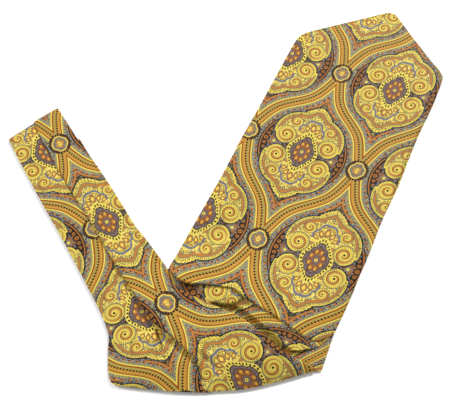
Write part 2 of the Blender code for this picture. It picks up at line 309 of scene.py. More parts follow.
@dataclass
class Motif:
    """One repeat of the print, drawn in millimetres from what a point of the cloth knows of its place."""

    layers: Layers
    dyes: Dyes
    spot: Place  # place in the medallion's quarter, from the medallion's middle
    crossing: Place  # place in a quarter of the nearest crossing of bands
    side: Signal  # distance from the band's middle, positive towards the grain's upper end
    run: Signal  # distance along the band
    chance: Signal  # the stipple's random numbers

    def draw(self) -> bpy.types.NodeSocket:
        """Draw every part, from the lowest layer up.

        Returns:
            The output with the colour.
        """
        for part in (
            self.flecks,
            self.waist,
            self.medallion,
            self.border,
            self.volute,
            self.comma,
            self.palmette,
            self.core,
            self.flower,
            self.band,
            self.rosette,
        ):
            part()
        return self.layers.colour

    def flecks(self) -> None:
        """Draw the flecks beside the band, the pointed frame and the dark ground inside it."""
        lay, dyes, spot, chance = self.layers.lay, self.dyes, self.spot, self.chance
        depth = abs(self.side)
        lay(depth.below(7.0, 1.6) * chance.above(0.5, 0.2), dyes.moss)
        along = self.run.repeat(5.8)
        tall = spot.y.above(8.0, 1.0)
        lay(Place(along, (depth - 8.9) * 1.15).disc(1.45, 0.4) * tall, "#9F6232")
        lay(Place(along - 0.8, depth - 9.2).disc(0.75) * tall, "#3E2924")
        near = spot.x.below(15.5, 1.5) * spot.y.above(38.0, 1.0)
        lay(depth.above(11.4) * near, dyes.soil)
        lay(depth.above(11.4) * near * chance.above(0.72, 0.1), dyes.moss)
        lay(spot.away(0.0, 56.6).disc(1.2), "#885946")
        lay(depth.between(9.8, 11.5) * near, dyes.orange)
        lay(depth.between(11.2, 11.7) * near, dyes.bark)

    def waist(self) -> None:
        """Draw the crescent beside the medallion's waist, with its chain and its flower."""
        lay, dyes, spot = self.layers.lay, self.dyes, self.spot
        arc = spot.radius() - 40.0
        inside = spot.y.below(23.5, 1.5) * spot.x.above(11.0)
        lay(inside * arc.below(1.6), dyes.ink)
        lay(inside * arc.below(0.5), "#935A22")
        lay(inside * arc.below(-0.7) * spot.y.below(19.0, 1.0), dyes.ink)
        lay(inside * arc.below(-7.0), "#6F4722")
        lay(inside * arc.between(-7.6, -7.0), dyes.slate)
        for x, y, size in ((36.4, 0.0, 2.0), (36.0, 5.4, 1.6), (34.7, 10.2, 1.7), (32.9, 14.8, 1.2)):
            ring = spot.away(x, y).radius()
            lay(ring.below(size), dyes.orange)
            lay(ring.between(size * 0.30, size * 0.62), dyes.ink)
        for x, y in ((33.6, 3.0), (31.7, 12.6)):
            lay(spot.away(x, y).disc(0.75), dyes.orange)
        flower = spot.away(28.4, 0.0)
        lay(flower.disc(3.9, 0.6), "#885930")
        lay(flower.disc(2.7), "#756B54")
        lay(flower.disc(1.25), dyes.yellow)

    def lobes(self) -> tuple[Signal, Signal, Signal]:
        """Outline the medallion's parts.

        Returns:
            Distance past the large lobe, past the pointed tip, and past the whole medallion.
        """
        spot = self.spot
        small = spot.away(*VOLUTE).radius() - VOLUTE_SIZE
        large = (spot.away(*LOBE).radius() - 24.9).most(10.5 - spot.y)
        peak = Place(spot.x, (spot.y - 36.0).most(0.0)).squeezed(16.0, 16.0).powers(1.4)
        tip = ((peak - 1.0) * 10.5 + 1.3 - abs(spot.slant().wave(6.6)) * 0.9).most(spot.x - 14.0)
        heart = (spot.squeezed(14.2, 22.0).powers(1.4) - 1.0) * 9.0
        return large, tip, small.least(large).least(tip).least(heart)

    def medallion(self) -> None:
        """Draw the medallion's dark outline and its speckled yellow ground, whose pale specks are painted
        highlights of the threads.
        """
        lay, dyes, chance = self.layers.lay, self.dyes, self.chance
        edge = self.lobes()[2]
        inside = edge.below(-0.4)
        lay(edge.below(1.9, 0.6), dyes.ink)
        lay(edge.between(0.9, 2.2, 0.5) * chance.above(0.62, 0.1), dyes.slate)
        lay(edge.below(0.2), dyes.yellow)
        lay(inside * chance.above(0.70, 0.1), dyes.gold)
        lay(inside * chance.below(0.16, 0.1), "#615120")
        # pale specks: painted highlights, standing for glints on the silk threads
        lay(inside * chance.between(0.40, 0.48, 0.1), "#D8CD80")

    def border(self) -> None:
        """Draw the medallion's ticked rim, the orange line inside it and the small rings along that."""
        lay, dyes, spot = self.layers.lay, self.dyes, self.spot
        large, tip, _ = self.lobes()
        lobe = large.least(tip + 1.6)
        upper = spot.y.above(12.0, 1.5)
        rim = large.between(-2.0, -0.3) * lobe.between(-2.2, 0.1)
        lay(rim * abs(spot.away(*LOBE).beads(88.0)).above(0.33, 0.1) * upper, dyes.khaki)
        rim = (tip + 1.6).between(-2.0, 0.4) * lobe.between(-2.2, 0.4)
        lay(rim * abs(spot.slant().repeat(1.65)).above(0.55, 0.15), dyes.khaki)
        for low, high, dye in ((-3.0, -2.1, "#5F5A48"), (-4.5, -2.9, dyes.orange), (-5.1, -4.4, "#6A6249")):
            lay(lobe.between(low, high) * upper, dye)
        for x, y, size in (
            (0.0, 41.2, 1.6), (3.2, 38.7, 0.8), (6.3, 36.7, 1.1), (9.2, 35.0, 0.8),
            (11.8, 33.0, 1.3), (22.2, 26.4, 0.8), (24.3, 24.0, 1.2), (26.5, 21.2, 0.8),
        ):
            ring = spot.away(x, y)
            lay(ring.disc(size), "#514F4C")
            lay(ring.disc(size * 0.42), dyes.yellow)

    def spiral(self, hub: Place, reach: float, pitch: float, lead: float) -> None:
        """Wind a beaded arm round a dark eye.

        Args:
            hub: Place as measured from the eye.
            reach: Radius of the whole scroll.
            pitch: Distance from one turn of the arm to the next.
            lead: Turn that the arm starts at, as a share of a full one.
        """
        lay, dyes = self.layers.lay, self.dyes
        inside = hub.disc(reach)
        turn = (hub.radius() / pitch - hub.angle() / math.tau - lead).math("FRACT")
        lay(inside, dyes.yellow)
        lay(inside * turn.between(0.02, 0.38, 0.06), dyes.orange)
        lay(inside * turn.between(0.30, 0.44, 0.05), "#4F3214")
        lay(inside * turn.between(0.90, 1.04, 0.04), "#625E50")
        lay(inside * turn.between(0.58, 0.76, 0.05) * abs(hub.beads(22.0)).below(0.24, 0.1), dyes.mustard)
        lay(hub.disc(reach * 0.29), dyes.yellow)
        lay(hub.disc(reach * 0.15), dyes.ink)

    def volute(self) -> None:
        """Draw the large scroll of a medallion's quarter, with its outline and its ticked rim."""
        lay, spot = self.layers.lay, self.spot
        hub = spot.away(*VOLUTE)
        lay(hub.disc(VOLUTE_SIZE), self.dyes.yellow)
        lay(hub.radius().between(8.9, VOLUTE_SIZE) * (spot.x - spot.y * 0.6).below(18.0, 2.0), "#55524C")
        lay(hub.radius().between(7.7, 8.9) * abs(hub.beads(30.0)).above(0.30, 0.1), self.dyes.khaki)
        self.spiral(hub, 7.6, 4.7, 0.52)

    def comma(self) -> None:
        """Draw the small scroll above the volute, with its stem."""
        hub = self.spot.away(16.8, 28.3)
        self.layers.lay(hub.disc(6.2), "#5A564B")
        self.spiral(hub, 5.6, 4.0, 0.92)
        stem = self.spot.away(12.6, 36.0).turned(152.0)
        self.layers.lay(abs(stem.y).below(0.95) * abs(stem.x).below(3.6), self.dyes.orange)

    def palmette(self) -> None:
        """Draw the arch with five petals above the core."""
        lay, dyes, spot = self.layers.lay, self.dyes, self.spot
        arch = Place(spot.x, (spot.y - 17.0).most(0.0)).squeezed(13.5, 19.5).powers(1.7)
        arch = arch - abs((spot.away(0.0, 17.0).angle() * 5.0).math("COSINE")) * 0.16
        low = spot.y.above(19.6)
        lay(arch.between(0.71, 0.92, 0.05) * low, "#5E606C")
        lay(arch.between(0.56, 0.64, 0.05) * low, "#8F6A28")
        petals = ((0.0, 27.4, 0.0, 3.1, 5.0), (5.0, 25.2, -24.0, 2.4, 4.0), (8.7, 21.4, -52.0, 2.2, 3.4))
        for x, y, lean, wide, tall in petals:
            petal = spot.away(x, y).turned(lean).squeezed(wide, tall)
            drop = Place(abs(petal.x), abs(petal.y)).powers(1.3)
            for size, dye in ((1.0, "#514A3F"), (0.74, dyes.orange), (0.34, dyes.yellow)):
                lay(drop.below(size, 0.12), dye)

    def core(self) -> None:
        """Draw the slate diamond in the medallion's middle, ringed by dark beads."""
        lay, dyes, chance = self.layers.lay, self.dyes, self.chance
        ring = self.spot.squeezed(13.2, 20.6)
        halo = ring.powers(1.25)
        lay(halo.below(1.16, 0.05), dyes.yellow)
        lay(Place(ring.beads(32.0) * 3.2, (halo - 1.0) * 10.5).disc(0.95), dyes.ink)
        diamond = self.spot.squeezed(*CORE)
        shape = diamond.powers(1.25) - abs((diamond.angle() * 6.0).math("SINE")) * 0.11 + 0.03
        lay(shape.below(1.0, 0.05), "#402E25")
        lay(shape.below(0.90, 0.05), "#675B59")
        lay(shape.below(0.90, 0.05) * chance.above(0.72, 0.1), "#41342D")
        lay(shape.below(0.70, 0.05), "#493028")
        inside = shape.below(0.64, 0.05)
        lay(inside, "#694A35")
        lay(inside * chance.above(0.70, 0.1), "#5F5D68")
        lay(inside * chance.below(0.22, 0.1), "#8B5322")

    def flower(self) -> None:
        """Draw the core's flower: eight petals round a ringed eye."""
        lay, dyes = self.layers.lay, self.dyes
        diamond = self.spot.squeezed(*CORE)
        petal = Place(diamond.beads(8.0) * 4.4, (diamond.radius() - 0.45) * 10.0)
        lay(petal.disc(2.1), "#43240F")
        lay(petal.disc(1.7), dyes.orange)
        lay(petal.away(0.0, 0.5).disc(0.65), dyes.gold)
        lay(petal.away(0.0, -0.9).disc(0.45), dyes.brown)
        lay(self.spot.disc(3.0), "#5C5A66")
        lay(self.spot.radius().between(1.5, 2.3), dyes.brown)
        lay(self.spot.disc(1.6), dyes.yellow)
        lay(self.spot.disc(0.6), dyes.bark)

    def band(self) -> None:
        """Draw the band: a dotted stripe between rust lines and yellow scalloped edges."""
        lay, dyes, side = self.layers.lay, self.dyes, self.side
        half = abs(side)
        wavy = half + self.run.wave(2.7) * 0.22
        lay(wavy.below(5.75), dyes.yellow)
        lay(wavy.between(5.5, 5.9), "#6D6229")
        lay(half.below(4.3), dyes.rust)
        lay(side.between(-3.4, -1.6), "#A56B2D")
        lay(half.below(2.9), dyes.tan)
        lay(side.between(0.8, 2.5), dyes.olive)
        lay(half.between(1.3, 3.2) * self.chance.above(0.78, 0.1), dyes.mustard)
        lay(Place(self.run.repeat(2.75), side).disc(1.0), dyes.bark)

    def rosette(self) -> None:
        """Draw the toothed rosette where bands meet."""
        lay, dyes, spot, chance = self.layers.lay, self.dyes, self.crossing, self.chance
        rim = spot.squeezed(1.0, 1.05).radius()
        lay(rim.below(9.4), "#5B4020")
        lay(rim.between(7.9, 10.6) * abs(spot.beads(26.0)).below(0.33, 0.1), dyes.ink)
        lay(rim.between(9.1, 9.7), dyes.ink)
        lobes = spot.squeezed(8.1, 9.4)
        shape = lobes.powers(1.5) - abs((lobes.angle() * 4.0).math("SINE")) * 0.13
        lay(shape.below(0.98, 0.05), "#8A5520")
        lay(shape.below(0.86, 0.05), dyes.yellow)
        lay(shape.below(0.69, 0.05), "#5D5B62")
        lay(shape.below(0.69, 0.05) * chance.above(0.5, 0.1), "#7D7B50")
        lay(shape.between(0.28, 0.38, 0.05), "#6A3D26")
        lay(shape.below(0.30, 0.05) * chance.above(0.3, 0.1), dyes.tan)
        lay(spot.squeezed(1.5, 2.5).disc(1.0, 0.2), dyes.yellow)
        lay(spot.disc(0.8), dyes.orange)


@dataclass(frozen=True)
class OgeePrint:
    """The print: an ogee lattice of dotted bands, with a scrolled medallion in each space."""

    half_width: float = 53.6  # half a repeat across the grain
    half_height: float = 96.2  # half a repeat along the grain
    bends: tuple[float, ...] = (0.119, -0.0214, 0.007)  # waves that bend the bands out of straight lines
    course: tuple[float, float] = (0.485, -0.875)  # the band's direction, that its dots are counted along
    stipple: float = 0.9  # side of one dot of the ground
    dyes: Dyes = field(default_factory=Dyes)

    def paint(self, tree: bpy.types.NodeTree, u: Signal, v: Signal) -> bpy.types.NodeSocket:
        """Paint the whole print.

        Args:
            tree: The material's tree.
            u: Place across the grain, in half repeats.
            v: Place along the grain, in half repeats.

        Returns:
            The output with the colour.
        """
        across, along = u.math("PINGPONG", 1.0), v.math("PINGPONG", 1.0)
        offset = self.offset(across, along)
        beyond = offset.math("GREATER_THAN", 0.0)
        falling = (v * 0.5).math("FRACT").math("GREATER_THAN", 0.5)
        x, y = across * self.half_width, along * self.half_height
        upper = y.math("GREATER_THAN", self.half_height / 2)
        chance = self.chance(tree, u, v)
        motif = Motif(
            layers=Layers(tree, self.ground(tree, chance)),
            dyes=self.dyes,
            spot=Place(abs(across - beyond) * self.half_width, abs(along - beyond) * self.half_height),
            crossing=Place(abs(x - (1.0 - upper) * self.half_width), abs(y - upper * self.half_height)),
            side=offset * falling.math("MULTIPLY_ADD", -2.0, 1.0),
            run=x * self.course[0] + y * self.course[1],
            chance=chance,
        )
        return motif.draw()

    def offset(self, across: Signal, along: Signal) -> Signal:
        """Measure the distance from the middle of the band, which waves from one crossing to the next.

        Args:
            across: Place across the grain, folded to one half repeat.
            along: Place along the grain, folded to one half repeat.

        Returns:
            The distance in millimetres, below zero on the medallion's side.
        """
        line = 1.0 - along
        slope: Number = -1.0
        for count, bend in enumerate(self.bends, 1):
            turn = along * (math.tau * count)
            line = line + turn.math("SINE") * bend
            slope = turn.math("COSINE") * (math.tau * count * bend) + slope
        slope = slope * (self.half_width / self.half_height)
        return (across - line) * self.half_width / (slope * slope + 1.0).math("SQRT")

    def chance(self, tree: bpy.types.NodeTree, u: Signal, v: Signal) -> Signal:
        """Draw a random number for each dot of the stipple.

        Args:
            tree: The material's tree.
            u: Place across the grain.
            v: Place along the grain.

        Returns:
            A number from zero to one that is constant over a dot.
        """
        dots = add_node(tree, "ShaderNodeCombineXYZ", {}, {
            0: u * (self.half_width / self.stipple),
            1: v * (self.half_height / self.stipple),
        })
        cells = add_node(tree, "ShaderNodeTexVoronoi", {"voronoi_dimensions": "2D"}, {
            "Vector": dots.outputs[0],
            "Scale": 1.0,
            "Randomness": 0.9,
        })
        parts = add_node(tree, "ShaderNodeSeparateColor", {}, {0: cells.outputs["Color"]})
        return Signal(tree, parts.outputs[0])

    def ground(self, tree: bpy.types.NodeTree, chance: Signal) -> bpy.types.NodeSocket:
        """Colour the ground with a fine stipple of slate, mist, moss, plum and ink.

        Args:
            tree: The material's tree.
            chance: The dots' random numbers.

        Returns:
            The output with the colour.
        """
        dyes = self.dyes
        ramp = add_node(tree, "ShaderNodeValToRGB", {}, {0: chance})
        ramp.color_ramp.interpolation = "CONSTANT"
        stops = ((0.0, dyes.slate), (0.30, dyes.mist), (0.52, dyes.moss), (0.68, dyes.plum), (0.86, dyes.ink))
        for i, (place, dye) in enumerate(stops):
            stop = ramp.color_ramp.elements[i] if i < 2 else ramp.color_ramp.elements.new(place)
            stop.position = place
            stop.color = linear(dye)
        return ramp.outputs[0]


class Finish:
    """A finish, which is one material with one shader."""

    name: str

    def begin(self, **settings: object) -> tuple[bpy.types.Material, bpy.types.Node]:
        """Make the material and set its shader's own sockets.

        Args:
            settings: Values by the sockets' names, with an underscore for each space.

        Returns:
            The material and its shader.
        """
        material = bpy.data.materials.new(self.name)
        material.use_nodes = True
        shader = material.node_tree.nodes["Principled BSDF"]
        for name, value in settings.items():
            shader.inputs[name.replace("_", " ")].default_value = value
        return material, shader


@dataclass(frozen=True)
class PrintedSilk(Finish):
    """Silk twill, woven plain and printed: a soft sheen, with the twill's fine slanting ribs."""

    name: str = "printed_silk_twill"
    pattern: OgeePrint = field(default_factory=OgeePrint)
    rib: float = 0.9  # spacing of the ribs, drawn coarser than the real 0.3 mm so that they show
    rib_height: float = 0.03
    roughness: float = 0.62  # silk thread is smooth, and its weave spreads the light
    sheen: float = 0.04  # fine loose fibres, which light up towards a grazing view
    sheen_roughness: float = 0.4
    specular: float = 0.15
    cross_rib: float = 1.7  # spacing of the weaker ribs that cross the others, as a multiple of theirs
    cross_height: float = 0.5
    bump: float = 0.6

    def make(self) -> bpy.types.Material:
        """Build the material.

        Returns:
            The material.
        """
        material, shader = self.begin(
            Roughness=self.roughness,
            Sheen_Weight=self.sheen,
            Sheen_Roughness=self.sheen_roughness,
            Specular_IOR_Level=self.specular,
        )
        tree = material.node_tree
        place = add_node(tree, "ShaderNodeUVMap", {"uv_map": PRINT_MAP}, {})
        parts = add_node(tree, "ShaderNodeSeparateXYZ", {}, {0: place.outputs[0]})
        u, v = Signal(tree, parts.outputs[0]), Signal(tree, parts.outputs[1])
        tree.links.new(self.pattern.paint(tree, u, v), shader.inputs["Base Color"])
        x, y = u * self.pattern.half_width, v * self.pattern.half_height
        weave = (x + y).wave(self.rib) + (x - y).wave(self.rib * self.cross_rib) * self.cross_height
        links = {"Height": weave * (self.rib_height * MM), "Strength": self.bump, "Distance": 1.0}
        bump = add_node(tree, "ShaderNodeBump", {}, links)
        tree.links.new(bump.outputs[0], shader.inputs["Normal"])
        return material


@dataclass(frozen=True)
class SilkThread(Finish):
    """Spun silk sewing thread: round, soft and a little glossy, dyed close to the cloth."""

    name: str = "silk_sewing_thread"
    colour: str = "#A39A56"
    roughness: float = 0.4  # twisted tight, so it shines more than the cloth
    sheen: float = 0.2

    def make(self) -> bpy.types.Material:
        """Build the material."""
        colour = linear(self.colour)
        return self.begin(Base_Color=colour, Roughness=self.roughness, Sheen_Weight=self.sheen)[0]


@dataclass(frozen=True)
class TableTop(Finish):
    """A pale painted table top, matt and even, so that the cloth's soft shadow reads on it."""

    name: str = "pale_matt_table_top"
    colour: str = "#FAFAFA"
    roughness: float = 0.9
    specular: float = 0.1

    def make(self) -> bpy.types.Material:
        """Build the material."""
        colour = linear(self.colour)
        return self.begin(Base_Color=colour, Roughness=self.roughness, Specular_IOR_Level=self.specular)[0]


def as_seen(points: np.ndarray) -> np.ndarray:
    """Move points along the line of sight onto the table's cloth height.

    Args:
        points: Points in millimetres, with x, y and z last.

    Returns:
        Their x and y where the eye sees them on a flat cloth.
    """
    reach = (EYE[2] - TABLE) / (EYE[2] - points[..., 2])
    return EYE[:2] + (points[..., :2] - EYE[:2]) * reach[..., None]


class Grain:
    """How the print lies on a panel: half repeats across and along the grain."""

    def lattice(self, places: np.ndarray) -> np.ndarray:
        """Turn places on the table, x and y last, into half repeats across and along the grain, last."""
        raise NotImplementedError


@dataclass(frozen=True)
class StraightGrain(Grain):
    """A grain that is laid nearly straight, by a few places where it was measured."""

    marks: tuple[tuple[float, float, float, float], ...]  # x, y in millimetres and their half repeats
    order: int = 1

    def terms(self, places: np.ndarray) -> np.ndarray:
        """Work out the terms of the fitted surface.

        Args:
            places: x and y in millimetres, last.

        Returns:
            The terms, last.
        """
        x, y = places[..., 0] / 100, places[..., 1] / 100
        terms = [np.ones_like(x), x, y]
        if self.order == 2:
            terms += [x * x, x * y, y * y]
        return np.stack(terms, axis=-1)

    def lattice(self, places: np.ndarray) -> np.ndarray:
        """Turn places into half repeats, by least squares.

        Args:
            places: x and y in millimetres, last.

        Returns:
            Half repeats across and along the grain, last.
        """
        marks = np.array(self.marks)
        fit = np.linalg.lstsq(self.terms(marks[:, :2]), marks[:, 2:], rcond=None)[0]
        return self.terms(places) @ fit


@dataclass(frozen=True)
class CurvedGrain(Grain):
    """A grain that turns with the neckband, by places on one line of the print."""

    spine: tuple[tuple[float, float, float], ...]  # x, y in millimetres, half repeats along the grain
    half_width: float = 53.6
    degree: int = 3
    reach: float = 1.0  # how far the line goes on past its ends, in half repeats
    steps: int = 600

    def lattice(self, places: np.ndarray) -> np.ndarray:
        """Turn places into half repeats, by the nearest point of the line.

        Args:
            places: x and y in millimetres, last.

        Returns:
            Half repeats across and along the grain, last.
        """
        spine = np.array(self.spine)
        counts = spine[:, 2]
        fine = np.linspace(counts.min() - self.reach, counts.max() + self.reach, self.steps)
        fits = [np.polyfit(counts, spine[:, i], self.degree) for i in (0, 1)]
        line = np.stack([np.polyval(fit, fine) for fit in fits], axis=1)
        pace = np.stack([np.polyval(np.polyder(fit), fine) for fit in fits], axis=1)
        flat = places.reshape(-1, 2)
        nearest = ((flat[:, None, :] - line[None, :, :]) ** 2).sum(axis=2).argmin(axis=1)
        speed = np.linalg.norm(pace[nearest], axis=1)
        ahead = pace[nearest] / speed[:, None]
        offset = flat - line[nearest]
        along = fine[nearest] + (offset * ahead).sum(axis=1) / speed
        across = (offset[:, 0] * ahead[:, 1] - offset[:, 1] * ahead[:, 0]) / self.half_width
        return np.stack([across, along], axis=1).reshape(places.shape)


@dataclass(frozen=True)
class FoldLine:
    """A line on the table that bends the cloth beside it."""

    line: tuple[tuple[float, float], ...]
    height: float
    width: float

    def nearest(self, places: np.ndarray) -> tuple[np.ndarray, np.ndarray, np.ndarray]:
        """Find the nearest point of the line.

        Args:
            places: x and y in millimetres, last.

        Returns:
            Distance from the line, below zero on its left; distance without a sign; and the share passed.
        """
        points = np.array(self.line, float)
        steps = np.diff(points, axis=0)
        lengths = np.linalg.norm(steps, axis=1)
        passed = np.concatenate([[0.0], np.cumsum(lengths)])
        gap = np.full(places.shape[:-1], np.inf)
        side, share = np.zeros_like(gap), np.zeros_like(gap)
        for start, step, length, before in zip(points, steps, lengths, passed):
            along = np.clip(((places - start) @ step) / length**2, 0.0, 1.0)
            reach = places - start - along[..., None] * step
            away = np.linalg.norm(reach, axis=-1)
            right = np.sign(reach[..., 0] * step[1] - reach[..., 1] * step[0])
            closer = away < gap
            gap = np.where(closer, away, gap)
            side = np.where(closer, away * right, side)
            share = np.where(closer, (before + along * length) / passed[-1], share)
        return side, gap, share


@dataclass(frozen=True)
class Crease(FoldLine):
    """A soft ridge, or a trough where its height is below zero, that fades out at its ends."""

    fade: float = 0.7  # below one, it keeps its height for longer

    def lift(self, places: np.ndarray) -> np.ndarray:
        """How far the cloth rises, in millimetres, at places with x and y last."""
        _, gap, share = self.nearest(places)
        return self.height * np.sin(np.pi * share) ** self.fade * np.exp(-((gap / self.width) ** 2))


@dataclass(frozen=True)
class Ledge(FoldLine):
    """A line that the cloth falls away from, on its right as seen along the line."""

    def lift(self, places: np.ndarray) -> np.ndarray:
        """How far the cloth rises, which is never above zero, at places with x and y last."""
        share = np.clip(self.nearest(places)[0] / self.width, 0.0, 1.0)
        return -self.height * share * share * (3.0 - 2.0 * share)


@dataclass(frozen=True)
class Roll:
    """An edge that rolls down, by section numbers and depths. A depth of zero is a plain hem."""

    depths: tuple[tuple[float, float], ...] = ((0.0, 0.0),)
    radius: float = 1.7  # millimetres, where the roll is deep enough for it

    def depth(self, numbers: np.ndarray) -> np.ndarray:
        """Depth of the roll at sections, or between two of them."""
        return np.interp(numbers, *zip(*self.depths))

    def bend(self, numbers: np.ndarray) -> np.ndarray:
        """Radius of the roll at sections."""
        return np.clip(self.depth(numbers), 1e-6, self.radius)

    def length(self, numbers: np.ndarray) -> np.ndarray:
        """Length of the rolled cloth, from its end to where it lies flat."""
        return self.depth(numbers) + (math.pi / 2 - 1.0) * self.bend(numbers)

    def follow(self, distance: np.ndarray, numbers: np.ndarray) -> tuple[np.ndarray, np.ndarray]:
        """Follow the cloth inwards from its end.

        Args:
            distance: Distance from the end, along the cloth.
            numbers: Section numbers.

        Returns:
            Distance from the outline as seen from above, and the drop below the upper face.
        """
        bend = self.bend(numbers)
        upright = self.depth(numbers) - bend
        angle = np.clip((distance - upright) / bend, 0.0, math.pi / 2)
        flat = np.maximum(distance - upright - bend * math.pi / 2, 0.0)
        inward = bend * (1.0 - np.cos(angle)) + flat
        drop = bend * (1.0 - np.sin(angle)) + np.maximum(upright - distance, 0.0)
        return inward, drop


HEM = Roll()


class Rails:
    """The two edge lines of a panel, stepped finely and softened as in its solid."""

    def __init__(self, sections: Sequence[Section], steps: int = RAIL_STEPS) -> None:
        """Step and soften the edge lines.

        Args:
            sections: The panel's sections.
            steps: Number of fine steps.
        """
        table = np.column_stack([np.array(sections, float), np.arange(len(sections))])
        sides = [np.linalg.norm(np.diff(table[:, i:i + 2], axis=0), axis=1) for i in (0, 3)]
        stations = np.concatenate([[0.0], np.cumsum(sides[0] + sides[1])])
        fine = np.linspace(0.0, stations[-1], steps + 1)
        columns = np.stack([np.interp(fine, stations, column) for column in table.T], axis=1)
        for _ in range(SOFTENING):
            inner = (columns[:-2] + 2 * columns[1:-1] + columns[2:]) / 4
            columns = np.concatenate([columns[:1], inner, columns[-1:]])
        middle = (columns[:, 0:2] + columns[:, 3:5]) / 2
        self.columns = columns
        self.passed = np.concatenate([[0.0], np.cumsum(np.linalg.norm(np.diff(middle, axis=0), axis=1))])

    @property
    def length(self) -> float:
        """Length of the panel's middle line."""
        return float(self.passed[-1])

    def at(self, distances: np.ndarray) -> np.ndarray:
        """Sections at distances along the middle line, with their numbers in a last column."""
        return np.stack([np.interp(distances, self.passed, column) for column in self.columns.T], axis=1)


def spread(total: np.ndarray, first: np.ndarray, last: np.ndarray, count: int, half: float) -> np.ndarray:
    """Spread positions over lines, closer together near their ends.

    Args:
        total: Length of each line.
        first: Length of the close part at each line's start.
        last: Length of the close part at each line's end.
        count: Number of steps between the close parts.
        half: Half the cloth's thickness, over which an edge is rounded.

    Returns:
        One row of positions for each line.
    """
    start = np.minimum(half, total * RIM_LIMIT)[:, None]
    rim = start * RIM_SHARES
    low, high = (np.minimum(part, total * CLOSE_LIMIT)[:, None] for part in (first, last))
    head, tail = (start + (part - start) * np.linspace(0.0, 1.0, CLOSE_STEPS)[:-1] for part in (low, high))
    whole = total[:, None]
    middle = low + (whole - high - low) * np.linspace(0.0, 1.0, count + 1)
    return np.concatenate([rim, head, middle, whole - tail[:, ::-1], whole - rim[:, ::-1]], axis=1)


def arched(rows: np.ndarray, shares: np.ndarray) -> np.ndarray:
    """Lay points on the cloth's upper face, which rises by its crown between the edge lines.

    Args:
        rows: Sections, from Rails.at.
        shares: Places across each section, as shares of its width.

    Returns:
        The points, section by section.
    """
    left, right, crown = rows[:, None, 0:3], rows[:, None, 3:6], rows[:, 6:7]
    points = left + (right - left) * shares[:, :, None]
    points[:, :, 2] += crown * (1.0 - (2.0 * shares - 1.0) ** 2)
    return points


def link_object(name: str, data: bpy.types.ID) -> bpy.types.Object:
    """Make an object in the scene.

    Args:
        name: The object's name.
        data: Its mesh, lamp or camera.

    Returns:
        The object.
    """
    thing = bpy.data.objects.new(name, data)
    bpy.context.scene.collection.objects.link(thing)
    return thing


def add_piece(name: str, mesh: bpy.types.Mesh) -> bpy.types.Object:
    """Add a piece of the cravat and report it.

    Args:
        name: The piece's name.
        mesh: Its mesh.

    Returns:
        The piece, riding on the root.
    """
    mesh.shade_smooth()
    piece = link_object(name, mesh)
    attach(piece, "root")
    LOG.info("%s: %d faces", name, len(mesh.polygons))
    return piece


def add_cloth(name: str, points: np.ndarray, faces: list, lattice: np.ndarray) -> bpy.types.Object:
    """Add a closed piece of printed cloth.

    Args:
        name: The piece's name.
        points: Points in the drawing's millimetres.
        faces: Point numbers of each face.
        lattice: The print's place at each point.

    Returns:
        The piece.
    """
    mesh = bpy.data.meshes.new(name)
    mesh.from_pydata(((points - MIDDLE) * MM).tolist(), [], faces)
    layer = mesh.uv_layers.new(name=PRINT_MAP)
    corners = np.empty(len(mesh.loops), int)
    mesh.loops.foreach_get("vertex_index", corners)
    layer.data.foreach_set("uv", lattice[corners].astype(np.float32).ravel())
    work = bmesh.new()
    work.from_mesh(mesh)
    bmesh.ops.recalc_face_normals(work, faces=work.faces)
    work.to_mesh(mesh)
    work.free()
    return add_piece(name, mesh)


class Side(Enum):
    """The long sides of a panel."""

    LEFT = "left"
    RIGHT = "right"


